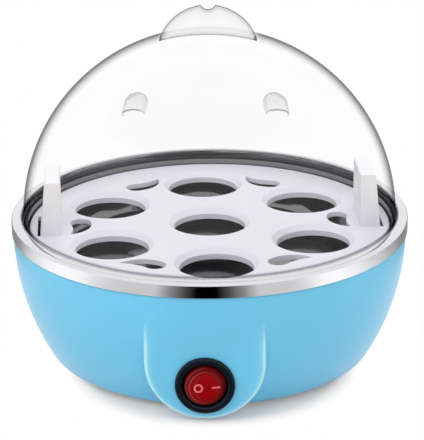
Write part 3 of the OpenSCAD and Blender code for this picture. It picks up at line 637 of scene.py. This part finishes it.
def raised_place(edge_turn, edge_along, outline, centre_z, face, edge_r, hole, blend):
    """A raised flat place round a hole. Rays run from the edge of a patch of the bowl, along it to the foot
    of the wall, up the wall, round its edge by a quarter circle and over the face to the hole. Points are
    (x, out, z), without the bowl's own first ring."""
    draft = 0.4
    over_ease = 0.75
    face_ease = 0.9
    x_edge, _, _ = on_bowl(edge_turn, edge_along).T
    along_centre = np.interp(centre_z, outer_rows[rising, 1], length[rising])
    ray = np.arctan2(edge_along - along_centre, x_edge)
    reach = outline(ray)
    way = np.stack([np.cos(ray), np.sin(ray)], -1)
    middle = np.array([0, centre_z])

    foot = middle + way * (reach + draft)[:, None]
    foot[:, 1] = np.maximum(foot[:, 1], foot_z)
    foot_out = out_at(foot[:, 0], foot[:, 1])
    foot_turn = np.arcsin(foot[:, 0] / np.hypot(foot[:, 0], foot_out))
    foot_along = np.interp(foot[:, 1], outer_rows[rising, 1], length[rising])
    t = np.linspace(0, 1, OVER + 2)[1:-1] ** over_ease
    over = on_bowl(edge_turn[:, None] * (1 - t) + foot_turn[:, None] * t,
                   edge_along[:, None] * (1 - t) + foot_along[:, None] * t)

    top = middle + way * reach[:, None]
    t = np.linspace(0, 1, UP)[None, :, None]
    start = np.stack([foot[:, 0], foot_out, foot[:, 1]], -1)[:, None]
    end = np.stack([top[:, 0], np.full(len(ray), face - edge_r), top[:, 1]], -1)[:, None]
    up = start * (1 - t) + end * t
    up[..., 1] = np.maximum(up[..., 1], out_at(up[..., 0], up[..., 2]))

    a = np.radians(np.linspace(0, 90, BEND + 1))[1:]
    inset = edge_r * (1 - np.cos(a))
    bend = middle + way[:, None] * (reach[:, None] - inset)[..., None]
    height = face - edge_r + edge_r * np.sin(a) + 0 * reach[:, None]

    hole_z, hole_radius = hole
    aim = np.arctan2(bend[:, -1, 1] - hole_z, bend[:, -1, 0])
    rim = np.stack([np.cos(aim), np.sin(aim)], -1) * hole_radius + [0, hole_z]
    t = np.linspace(0, 1, FLAT + 1)[1:][None, :, None] ** face_ease
    flat = bend[:, -1:] * (1 - t) + rim[:, None] * t
    flat_height = np.full(flat.shape[:2], face)

    place = np.concatenate([bend, flat], 1)
    height = np.concatenate([height, flat_height], 1)
    soft = blend * np.concatenate([inset / edge_r, np.ones(flat.shape[1])]) + 1e-6
    height = soft_max(height, out_at(place[..., 0], place[..., 1]), soft + 0 * height)
    cap = np.stack([place[..., 0], height, place[..., 1]], -1)
    return np.concatenate([over, up, cap], 1)


def chin_outline(ray):
    """The chin is a half circle below and nearly straight above: |cos/a|^6 + |sin/b|^6 = 1."""
    power = 6
    below_step = 4.0
    farthest = 60.0
    c, s = np.abs(np.cos(ray)), np.sin(ray)
    high = np.maximum(step_z - below_step - chin_z, 1.0)
    upper = ((c / chin_w) ** power + (np.maximum(s, 0) / high) ** power + 1e-12) ** (-1 / power)
    return np.where(s < 0, chin_w, np.minimum(upper, farthest))


def seat_outline(ray):
    """The inlet's seat is round."""
    return np.full(ray.shape, seat_r)


def patch_edge(columns, rows):
    """(column, row) of the points round a patch, once round."""
    (c0, c1), (r0, r1) = columns, rows
    bottom = [(c, r0) for c in range(c0, c1)]
    right = [(c1, r) for r in range(r0, r1)]
    top = [(c, r1) for c in range(c1, c0, -1)]
    left = [(c0, r) for r in range(r1, r0, -1)]
    return np.array(bottom + right + top + left)


def blue_bowl():
    """The bowl's outline carried round the Z axis, with two patches replaced by raised places."""
    spans = [
        (FRONT - CHIN_REACH, FRONT + CHIN_REACH, CHIN_COLUMNS),
        (FRONT + CHIN_REACH, BACK - SEAT_REACH, PLAIN_COLUMNS),
        (BACK - SEAT_REACH, BACK + SEAT_REACH, SEAT_COLUMNS),
        (BACK + SEAT_REACH, FRONT + 360 - CHIN_REACH, PLAIN_COLUMNS),
    ]
    angles = np.concatenate([np.linspace(a, b, n + 1)[:-1] for a, b, n in spans])
    count, rows = len(angles), len(profile)
    points = lathe(profile, angles).reshape(-1, 3)
    faces = quads(count, rows, True, True)
    column, row = faces[:, 0] // rows, faces[:, 0] % rows
    last_outer = len(outer_rows) - 1
    first_inner = last_outer + len(neck) + 1
    keep = np.ones(len(faces), bool)
    extra, extra_faces, used = [], [], len(points)
    edge_highlight = [np.zeros(len(points))]
    chin = ((0, CHIN_COLUMNS), (1, last_outer - 1), FRONT, {
        "outline": chin_outline, "centre_z": chin_z, "face": chin_y, "edge_r": chin_edge_r,
        "hole": (switch_z, barrel_r + barrel_gap), "blend": chin_blend,
    })
    first_seat = CHIN_COLUMNS + PLAIN_COLUMNS
    seat = ((first_seat + 1, first_seat + SEAT_COLUMNS - 1), (1, SEAT_ROWS), BACK, {
        "outline": seat_outline, "centre_z": inlet_z, "face": seat_y, "edge_r": seat_edge_r,
        "hole": (inlet_z, gland_r + gland_gap), "blend": 0.0,
    })
    for columns, patch_rows, facing, place in (chin, seat):
        sign = 1 if facing == FRONT else -1
        inner_span = [first_inner + last_outer - r for r in patch_rows[::-1]]
        for low, high in (patch_rows, inner_span):
            keep &= ~((column >= columns[0]) & (column < columns[1]) & (row >= low) & (row < high))
        edge = patch_edge(columns, patch_rows)
        turn = np.radians(angles[edge[:, 0] % count] - facing)
        rays = raised_place(turn, length[edge[:, 1]], **place)
        outside = np.stack([sign * rays[..., 0], -sign * rays[..., 1], rays[..., 2]], -1)
        around = np.roll(outside, -1, 0) - np.roll(outside, 1, 0)
        normal = np.cross(around, np.gradient(outside, axis=1))
        normal /= np.maximum(np.linalg.norm(normal, axis=-1, keepdims=True), 1e-9)
        out_way = np.array([0, -sign, 0])
        normal *= np.sign(np.sum(normal[:, -1] * out_way, -1))[:, None, None]
        inside = outside - normal * wall
        n, rings = outside.shape[:2]
        for skin, start_row in ((outside, edge[:, 1]), (inside, first_inner + last_outer - edge[:, 1])):
            number = used + np.arange(n * rings).reshape(n, rings)
            number = np.concatenate([((edge[:, 0] % count) * rows + start_row)[:, None], number], 1)
            after = np.roll(number, -1, 0)
            ring_faces = [number[:, :-1], number[:, 1:], after[:, 1:], after[:, :-1]]
            extra_faces.append(np.stack(ring_faces, -1).reshape(-1, 4))
            extra.append(skin.reshape(-1, 3))
            # Only the chin's outer skin takes the painted edge highlight.
            pale = skin is outside and facing == FRONT
            edge_highlight.append(painted_edge_highlight(skin, rings) if pale else np.zeros(n * rings))
            used += n * rings
        lip = number[:, -1]
        outer_lip = lip - n * rings
        extra_faces.append(np.stack([outer_lip, lip, np.roll(lip, -1), np.roll(outer_lip, -1)], -1))
    points = np.concatenate([points] + extra)
    return points, np.concatenate([faces[keep]] + extra_faces), np.concatenate(edge_highlight)


def painted_edge_highlight(skin, rings):
    """How much painted highlight the chin's rounded edge takes: most on the middle ring of its bend, and
    lower down only.
    """
    pale_rings = 3.0
    pale_below = 42.0
    pale_over = 10.0
    middle_ring = OVER + UP + BEND // 2
    bend = bell(np.arange(rings) - middle_ring, pale_rings)
    proud = ramp(pale_below - skin[:, middle_ring, 2], pale_over)
    return (proud[:, None] * bend).ravel()


bowl_points, bowl_faces, bowl_edge_highlight = blue_bowl()
piece("bowl", [(bowl_points, bowl_faces)], "base", finishes["blue_shell"], ["base_shell"],
      attributes={"edge_highlight": bowl_edge_highlight})


# ---- Steel rim and dish ----

def steel_sheet():
    """The rim, the two seats and the dish: a bent sheet's outline carried round the Z axis."""
    outer_bend = 1.4
    bend = 0.9
    tight_bend = 0.4
    pan_bend = 6.0
    longest_leg = 4.0
    path = [
        (rim_r, band_z), (rim_r, rim_top - rim_drop), (rim_in_r, rim_top), (rim_in_r, lid_seat_z),
        (tray_wall_r, lid_seat_z), (tray_wall_r, tray_seat_z), (tray_seat_r, tray_seat_z),
        (pan_r, pan_z), (0, pan_z),
    ]
    bends = [0, outer_bend, bend, tight_bend, bend, tight_bend, bend, pan_bend, 0]
    outside = finer(rounded(path, bends), longest_leg)
    outline = np.concatenate([outside, offset(outside, sheet_t)[::-1]])
    return outline, lathe(outline, ring_angles(288))


lip_h = 1.0
lip_w = 0.1
steel_outline, steel_points = steel_sheet()
# Painted shade falls on the sheet inside the rim, below its top: the dish under the tray.
within = (steel_outline[:, 0] < rim_in_r + lip_w) & (steel_outline[:, 1] < rim_top - lip_h)
steel_painted_shade = np.where(within, 1.0, 0.0)
steel = piece("rim_and_dish", [grid(steel_points, True, True)], "base", finishes["rim_steel"],
              ["steel_dish"], attributes={"inside": np.tile(steel_painted_shade, len(steel_points))})


def wrap_strip(made):
    """A strip map in metres: across, the turn about Z times the rim's radius; up, height less radius."""
    mesh = made.data
    places = np.zeros(len(mesh.vertices) * 3)
    mesh.vertices.foreach_get("co", places)
    places = places.reshape(-1, 3)
    corner = np.zeros(len(mesh.loops), int)
    mesh.loops.foreach_get("vertex_index", corner)
    at = places[corner]
    turn = np.arctan2(at[:, 1], at[:, 0]) * rim_r * MM
    rise = at[:, 2] - np.hypot(at[:, 0], at[:, 1])
    layer = mesh.uv_layers.new(name="strip")
    layer.data.foreach_set("uv", np.stack([turn, rise], -1).ravel())


wrap_strip(steel)


# ---- Lid: a double wall with a fin on top and two vent hoods, as one moulding ----

def dome_wall():
    """The lid's outline carried round the Z axis: a quarter circle and a short skirt, outside and inside;
    how much its outer side greys; and the painted shade drawn at its foot and along the line where it enters
    the rim."""
    low_angle = 6
    lip_r = 0.7
    lip_steps = 4
    line_width = 0.6
    foot_shade = 0.85
    groove_shade = 0.8
    groove_drop = 0.05
    clear_share = 0.9
    clear_over = 3.0
    clear_reach = 48.0
    clear_reach_over = 6.0
    upper = arc((0, dome_z), lid_r, 90, low_angle, 56)
    outside = np.concatenate([upper, arc((0, dome_z), lid_r, low_angle, 0, 32)[1:]])
    inside = arc((0, dome_z), lid_r - lid_wall, 0, 90, 60)
    foot_path = [outside[-1], (lid_r, lid_z), (lid_r - lid_wall, lid_z), inside[0]]
    foot = rounded(foot_path, [0, lip_r, lip_r, 0], lip_steps)
    outline = np.concatenate([outside[:-1], foot, inside[1:]])
    outline[[0, -1], 0] = 0
    outer_count = len(outside) + lip_steps + 1
    outer = np.concatenate([np.ones(outer_count), np.zeros(len(outline) - outer_count)])
    # Painted shade: a dark line at the foot, which sits in the rim's seat, and one in the shaded groove where
    # the lid enters the rim.
    edge = foot_shade * bell(outline[:, 1] - lid_z, line_width)
    edge += groove_shade * bell(outline[:, 1] - rim_top + groove_drop, line_width) * outer
    points = lathe(outline, ring_angles(192))
    under_fin = ramp(fin_r - np.abs(points[..., 0]), clear_over)
    beside = ramp(clear_reach - np.abs(points[..., 1]), clear_reach_over)
    outer = outer * (1 - clear_share * under_fin * beside * (points[..., 2] > dome_z + lid_r / 2))
    return points, outer, np.tile(edge, (len(points), 1))


def fin_outline():
    """The fin's upper outline from foot to foot, (x, z): a circle with a smaller one cut out of its top."""
    rise = fin_z - dome_z
    meet_z = (lid_r ** 2 - fin_r ** 2 + rise ** 2) / (2 * rise)
    foot = math.degrees(math.asin((meet_z - rise) / fin_r))
    top = fin_z + fin_r - notch_depth + notch_r
    apart = top - fin_z
    lip_z = (fin_r ** 2 - notch_r ** 2 + apart ** 2) / (2 * apart)
    lip = math.degrees(math.acos(lip_z / fin_r))
    low = math.degrees(math.asin((apart - lip_z) / notch_r))
    left = arc((0, fin_z), fin_r, 180 - foot, 90 + lip, 44)
    dip = arc((0, top), notch_r, -180 + low, -low, 14)
    right = arc((0, fin_z), fin_r, 90 - lip, foot, 44)
    return np.concatenate([left, dip[1:-1], right]), top


def fin_plate():
    """An upright plate: for each x, a loop up the front, over the edge, down the back and under the foot;
    and the painted shade drawn on its edge, foot and heels."""
    climb_rows = 15
    edge_rows = 7
    climb_power = 2.5
    foot_overlap = 0.25
    edge_width = 0.6
    back_dark = 0.45
    front_dark = 0.08
    glow_dark = 0.16
    glow_width = 1.6
    foot_shade = 0.3
    foot_width = 0.45
    foot_glow_dark = 0.22
    foot_glow_width = 1.2
    heel_shade = 0.9
    heel_width = 0.5
    heel_h = 1.5
    upper, notch_z = fin_outline()
    x, top = upper.T
    bottom = np.minimum(dome_z + np.sqrt(lid_r ** 2 - x ** 2) - foot_overlap, top)
    half = fin_t / 2
    climb = 1 - (1 - np.linspace(0, 1, climb_rows)) ** climb_power
    across = np.linspace(-half, half, edge_rows + 2)[1:-1]
    y = np.concatenate([np.full(climb_rows, -half), across, np.full(climb_rows, half), across[::-1]])
    share = np.concatenate([climb, np.ones(edge_rows), climb[::-1], np.zeros(edge_rows)])
    z = bottom[:, None] + (top - bottom)[:, None] * share
    points = np.stack([x[:, None] + 0 * z, y + 0 * z, z], -1)
    off_rim = np.abs(np.hypot(points[..., 0], points[..., 2] - fin_z) - fin_r)
    off_notch = np.abs(np.hypot(points[..., 0], points[..., 2] - notch_z) - notch_r)
    off = np.minimum(off_rim, off_notch)
    base = points[..., 2] - (dome_z + np.sqrt(np.maximum(lid_r ** 2 - points[..., 0] ** 2 - half ** 2, 0)))
    # Painted shade: dark outlines with a soft falloff inside, a dark foot line and dark heels where the fin
    # meets the dome.
    line = bell(off, edge_width) * np.where(y > 0, back_dark, front_dark)
    glow = glow_dark * np.exp(-off / glow_width)
    foot_line = foot_shade * bell(base, foot_width) + foot_glow_dark * np.exp(-np.abs(base) / foot_glow_width)
    off_heel = np.abs(points[..., 0]) - fin_foot_w
    heel = heel_shade * bell(off_heel, heel_width) * (np.abs(base) < heel_h) * (y < 0)
    return points, np.clip(line + glow + foot_line * (y < 0) + heel, 0, 1)


def vent_hood():
    """Half a flattened tube with a round end, hollow, open at its mouth: +Z stands out, +X runs downhill;
    and the painted shade drawn on its mouth, body and foot."""
    straight_rows = 11
    lip_bulge = 0.15
    mouth_shade = 0.75
    mouth_width = 0.28
    mouth_over = 1.2
    mouth_least = 0.25
    body_shade = 0.1
    body_more = 0.12
    sill_shade = 0.2
    sill_width = 0.4
    back = hood_l / 3
    ends = np.radians(np.linspace(0, 90, 9))
    turn = np.radians(np.linspace(-90, 90, 25))
    straight = np.linspace(-back, hood_mouth, straight_rows + 1)[1:]
    shells = []
    for radius, way in ((hood_r, 1), (hood_r - hood_wall, -1)):
        along = np.concatenate([-back - radius * np.cos(ends), straight])[:, None]
        size = np.concatenate([radius * np.sin(ends), np.full(straight_rows, radius)])[:, None]
        sideways = size * np.sin(turn[::way])
        shells.append(np.stack([along + 0 * turn, sideways, size * np.cos(turn[::way])], -1))
    shell = np.concatenate(shells, 1)
    lip = shell[-1:].copy()
    lip[..., 0] += lip_bulge
    lip[..., 1:] *= ((hood_r - hood_wall / 2) / np.hypot(lip[..., 1], lip[..., 2]))[..., None]
    shell = np.concatenate([shell, lip])
    shell[..., 1] *= hood_spread
    above = shell[..., 2] - hood_sink
    shell[..., 2] = np.where(above > 0, hood_sink + above * hood_rise, shell[..., 2])
    mouth = hood_mouth - shell[..., 0]
    over = shell[..., 2] - hood_sink + (shell[..., 0] ** 2 + shell[..., 1] ** 2) / (2 * lid_r)
    outer_side = np.arange(shell.shape[1]) < len(turn)
    # Painted shade: a dark line at the mouth, a grey body that darkens away from the mouth, and a line along
    # the sill.
    rim = mouth_shade * bell(mouth, mouth_width) * np.clip(over / mouth_over, mouth_least, 1)
    body = body_shade + body_more * ramp(mouth, hood_l)
    sill = sill_shade * bell(over, sill_width)
    return shell, np.clip(rim + (body + sill) * outer_side, 0, 1)


def turn_about(axis, angle):
    """A turn about the Y or the Z axis, as a matrix."""
    c, s = math.cos(angle), math.sin(angle)
    flat_turn = {"y": [[c, 0, s], [0, 1, 0], [-s, 0, c]], "z": [[c, -s, 0], [s, c, 0], [0, 0, 1]]}
    return np.array(flat_turn[axis])


def lid():
    """Gathers the wall, the fin and the two hoods, how much each place greys and how much painted shade
    is drawn on it.
    """
    wall_points, outer, edge = dome_wall()
    plate, plate_edge = fin_plate()
    hood, hood_edge = vent_hood()
    forms = [
        (grid(wall_points, True, False), outer, edge),
        (grid(plate, False, True), 0 * plate_edge, plate_edge),
    ]
    for hand in (-1, 1):
        facing_front = hood @ turn_about("z", -hand * hood_turn).T + [0, 0, lid_r - hood_sink]
        leant = facing_front @ turn_about("y", hood_lean).T
        placed = leant @ turn_about("z", -math.pi / 2 + hand * hood_angle).T + [0, 0, dome_z]
        forms.append((grid(placed, False, True), 0 * hood_edge, hood_edge))
    parts, greys, darks = zip(*forms)
    attributes = {
        "outer": np.concatenate([grey.ravel() for grey in greys]),
        "edge": np.concatenate([dark.ravel() for dark in darks]),
    }
    piece("lid", parts, "lid", finishes["clear_lid"], ["dome_lid"], attributes=attributes)


lid()


# ---- Switch ----

bezel_back = 1.0
bezel_path = [
    (0, bezel_depth), (barrel_r, bezel_depth), (barrel_r, bezel_t), (bezel_r, bezel_t), (bezel_r, 0),
    (rocker_hole_r, 0), (rocker_hole_r, bezel_depth - bezel_back), (0, bezel_depth - bezel_back),
]
bezel_bends = [0, 0.3, 0.1, 0.1, 0.9, 1.1, 0.2, 0]
bezel_outline = finer(rounded(bezel_path, bezel_bends, 8), 3.0)
bezel_points = turned(lathe(bezel_outline, ring_angles(96)), (0, -bezel_y, switch_z))
piece("switch_bezel", [grid(bezel_points, True, False)], "base", finishes["black_plastic"],
      ["switch_housing"])


def rocker_depth(r):
    """How far the rocker's round face falls back at a distance from its middle: part of a large ball."""
    return rocker_ball_r - np.sqrt(rocker_ball_r ** 2 - np.square(r))


def on_rocker(points):
    """Places points drawn about the face's middle, +Z into the switch, with the rocker at rest."""
    upright = np.stack([points[..., 0], points[..., 2] - rocker_reach, -points[..., 1]], -1)
    return upright @ turn_about("z", rocker_tilt).T + [0, rocker_pivot, switch_z]


def rocker():
    """The rocker's outline carried round its middle: a ball-shaped face, a sloping edge and a straight skirt;
    and how much painted shade its sides take and how bright the painted highlight arcs at the left of its
    edge are."""
    face_rows = 40
    edge_w = 1.7
    skirt_w = 1.6
    skirt_back = 3.2
    side_starts = 1.2
    side_over = 1.6
    face_rim_shade = 0.45
    rim_over = 2.4
    right_shade = 0.5
    right_over = 2.2
    left_from = 0.15
    right_from = 0.2
    face_r = rocker_r - edge_w
    r = np.linspace(0, face_r, face_rows)
    face = np.stack([r, rocker_depth(r)], -1)
    start = rocker_depth(face_r)
    edge = [(face_r + 0.25, start + 0.12), (rocker_r - 0.35, start + 1.1), (rocker_r, start + 1.9)]
    skirt_z = rocker_reach + skirt_w
    skirt_r = rocker_r - skirt_w
    skirt = [(rocker_r, skirt_z), (skirt_r, skirt_z), (skirt_r, skirt_back), (0, skirt_back)]
    outline = np.concatenate([face, finer(edge, 0.4), finer(skirt, 1.5)])
    # Painted shade: darker down the sides, round the face's rim and on the pressed right end, where the bezel
    # shades it.
    past_face = outline[:, 0] - face_r
    down = ramp(past_face + side_starts, side_over)
    down[:face_rows] = ramp(past_face[:face_rows] + rim_over, rim_over) * face_rim_shade
    angles = ring_angles(96)
    points = lathe(outline, angles)
    sideways = np.cos(np.radians(angles))
    # The painted highlight arcs lie on the left side only, towards the light.
    leftward = np.clip(left_from - sideways, 0, 1)[:, None]
    rightward = np.clip(sideways - right_from, 0, 1)[:, None]
    down = np.clip(down + rightward * ramp(past_face + right_over, right_over) * right_shade, 0, 1)
    # Each painted highlight arc's radius, width and brightness
    bands = [(face_r + 0.1, 0.22, 0.52), (face_r - 1.5, 0.16, 0.24), (face_r + 1.3, 0.2, 0.35)]
    arcs = sum(share * bell(outline[:, 0] - middle, width) for middle, width, share in bands)
    piece("rocker", [grid(on_rocker(points), True, False)], "rocker", finishes["red_rocker"],
          ["switch_rocker"], sharp=30,
          attributes={"side": down.ravel(), "arcs": (leftward * arcs).ravel()})


def mark(name, across, along):
    """A thin raised print on the rocker's face. The rows run round it, the columns over its section."""
    sunk = -0.1
    raised = 0.04
    lift = np.array([sunk, raised, raised, sunk])
    r = np.hypot(across, along)
    points = on_rocker(np.stack([across, along, rocker_depth(r) - lift], -1))
    piece(name, [grid(points, True, True)], "rocker", mark_print)


mark_print = printed_mark("mark_print", rgb(238, 122, 128))
mark_z = 0.0
ring_x, ring_r, stroke = -2.95, 1.45, 0.62
dash_x, dash_l, dash_core = 3.75, 3.3, 0.02

once_round = np.radians(ring_angles(40))[:, None]
section = ring_r + np.array([1, 1, -1, -1]) * stroke / 2
mark("mark_off", ring_x + section * np.cos(once_round), mark_z + section * np.sin(once_round))

reach = np.array([1, 1, dash_core, dash_core]) * stroke / 2
straight = dash_l / 2 - stroke / 2
dash_ends = dash_x + np.sign(np.cos(once_round)) * straight
mark("mark_on", dash_ends + reach * np.cos(once_round), mark_z + reach * np.sin(once_round))
rocker()


# ---- Studio ----

def seen(finish):
    """1 for the rays that show a surface: from the camera, off a glossy surface and through a clear one."""
    outputs = finish.add("LightPath").socket.node.outputs
    kinds = ("Is Camera Ray", "Is Glossy Ray", "Is Transmission Ray")
    camera, glossy, through = (Wire(finish.tree, outputs[kind]) for kind in kinds)
    return (camera + glossy + through).clamped()


def on_stage(name, points, faces, material):
    """A mesh of the studio, in metres, that isn't part of the object."""
    mesh = bpy.data.meshes.new(name)
    mesh.from_pydata(points, [], faces)
    mesh.materials.append(material)
    made = linked(name, mesh)
    return made


def studio():
    """White air, and a pale floor that takes the object's shadow near its foot and is plain white beyond."""
    air_light = 0.42
    air_shown = 0.58
    world = bpy.data.worlds.new("studio_air")
    bpy.context.scene.world = world
    world.use_nodes = True
    air = Finish("studio_air", world.node_tree)
    strength = air_light + seen(air) * air_shown
    glow = air.add("Background", {}, {"Color": WHITE, "Strength": strength})
    air.add("OutputWorld", {}, {"Surface": glow})

    # The floor turns white at a distance from two points, before and behind the middle
    points_apart = 0.0225
    points_right = 0.0015
    near_ends = 0.0495
    near_fades = 0.0085
    lift_share = 0.17
    half_size = 6.0
    f = Finish("floor_pale")
    shown = seen(f)
    across, deep = (f.add("SeparateXYZ", {}, {0: f.add("TexCoord", output=3)}, output=n) for n in (0, 1))
    beyond = deep.absolute() - points_apart
    beside = across - points_right
    away = (beside * beside + (beyond * beyond)) ** 0.5
    clear_of_foot = ((away - near_ends) / near_fades).clamped()
    matt = f.add("BsdfDiffuse", {}, {"Color": (0.93, 0.76, 0.69, 1)})
    lift = f.add("Emission", {}, {"Color": WHITE, "Strength": shown * lift_share})
    near = f.add("AddShader", {}, {0: matt, 1: lift})
    white = f.add("Emission", {}, {"Color": WHITE, "Strength": 1.0})
    top = f.add("MixShader", {}, {0: shown * clear_of_foot, 1: near, 2: white})
    below = f.add("NewGeometry", output=6)
    clear = f.add("BsdfTransparent")
    f.surface(f.add("MixShader", {}, {0: below, 1: top, 2: clear}))
    square = [(x * half_size, y * half_size, 0) for x, y in ((-1, -1), (1, -1), (1, 1), (-1, 1))]
    on_stage("floor", square, [(0, 1, 2, 3)], f.material)


def reflecting_ring():
    """A ring of cards on the table round the object, which only reflections see: dark in front, bright at the
    sides, dim behind. Its brightness is a smooth run between a few stops, by the angle off the front."""
    stops = [
        (0, 0), (5, 0), (10, 0.08), (17, 0.31), (24, 0.75), (38, 0.76), (46, 0.81), (54, 0.96), (62, 1.18),
        (71, 1.27), (81, 1.24), (92, 1.06), (105, 0.76), (110, 0.56), (116, 0.38), (126, 0.29), (145, 0.32),
        (180, 0.64),
    ]
    columns = 241
    front_r = 0.084
    back_further = 0.066
    middle_r = 0.2
    outer_r = 0.7
    above_floor = 0.0004
    right_shift = 12
    angles = np.linspace(-180, 180, columns)
    # The cards come close in front, and start further out from 45 to 65 degrees off it
    nearest = front_r + back_further * ramp(np.abs(angles) - 45, 20)
    r = np.stack([nearest, middle_r + 0 * angles, outer_r + 0 * angles], -1)
    turn = np.radians(angles)[:, None]
    points = np.stack([r * np.sin(turn), -r * np.cos(turn), 0 * r + above_floor], -1)
    f = Finish("ring_of_cards")
    tone = f.add("Attribute", {"attribute_name": "tone"}, output=2)
    face = f.add("Emission", {}, {"Color": WHITE, "Strength": tone})
    cards = f.surface(face)
    made = on_stage("ring_of_cards", points.reshape(-1, 3).tolist(), quads(columns, 3).tolist(), cards)
    layer = made.data.attributes.new("tone", "FLOAT", "POINT")
    # On the right, between 30 and 115 degrees, the stops lie nearer the front
    further = right_shift * ramp(angles - 30, 40) * ramp(115 - angles, 25)
    off_front, tones = zip(*stops)
    tone_there = np.interp(np.abs(angles) + further, off_front, tones)
    layer.data.foreach_set("value", np.repeat(tone_there, 3).astype(np.float32))
    for kind in ("camera", "diffuse", "transmission", "volume_scatter", "shadow"):
        setattr(made, "visible_" + kind, False)


def lamp(name, place, aim_z, size, power):
    """A square soft lamp at a place, turned to a height on the axis. Reflections don't show it."""
    light = bpy.data.lights.new(name, "AREA")
    light.shape = "SQUARE"
    light.size = size
    light.energy = power
    made = linked(name, light)
    made.location = place
    made.rotation_euler = (Vector((0, 0, aim_z)) - Vector(place)).to_track_quat("-Z", "Y").to_euler()
    made.visible_glossy = False


def viewpoint():
    """The camera: a long lens, a little above the table, nearly square on to the switch."""
    aim = Vector((0, 0, 0.0553))
    distance = 0.85
    rise = math.radians(20.2)
    turn = math.radians(1.7)
    back = Vector((math.sin(turn) * math.cos(rise), -math.cos(turn) * math.cos(rise), math.sin(rise)))
    data = bpy.data.cameras.new("camera")
    data.sensor_width = 36.0
    data.lens = 171.4
    data.shift_x = 0.0055
    data.shift_y = -0.0040
    data.clip_start, data.clip_end = 0.05, 30.0
    camera = linked("camera", data)
    camera.location = aim + back * distance
    roll = Quaternion((0, 0, 1), math.radians(-0.5))
    camera.rotation_euler = ((-back).to_track_quat("-Z", "Y") @ roll).to_euler()
    bpy.context.scene.camera = camera


studio()
reflecting_ring()
lamp("key_soft", (-0.9, -0.9, 1.1), aim_z=0.06, size=1.4, power=9.0)
lamp("fill_soft", (0.45, -1.35, 0.7), aim_z=0.06, size=1.2, power=5.4)
lamp("top_soft", (0.1, 0.2, 1.6), aim_z=0.06, size=1.4, power=9.0)
lamp("side_left", (-1.5, 0.0, 0.4), aim_z=0.04, size=0.9, power=2.5)
lamp("side_right", (1.35, 0.65, 0.4), aim_z=0.04, size=0.9, power=6.5)
viewpoint()
bpy.context.scene.view_settings.view_transform = "Standard"
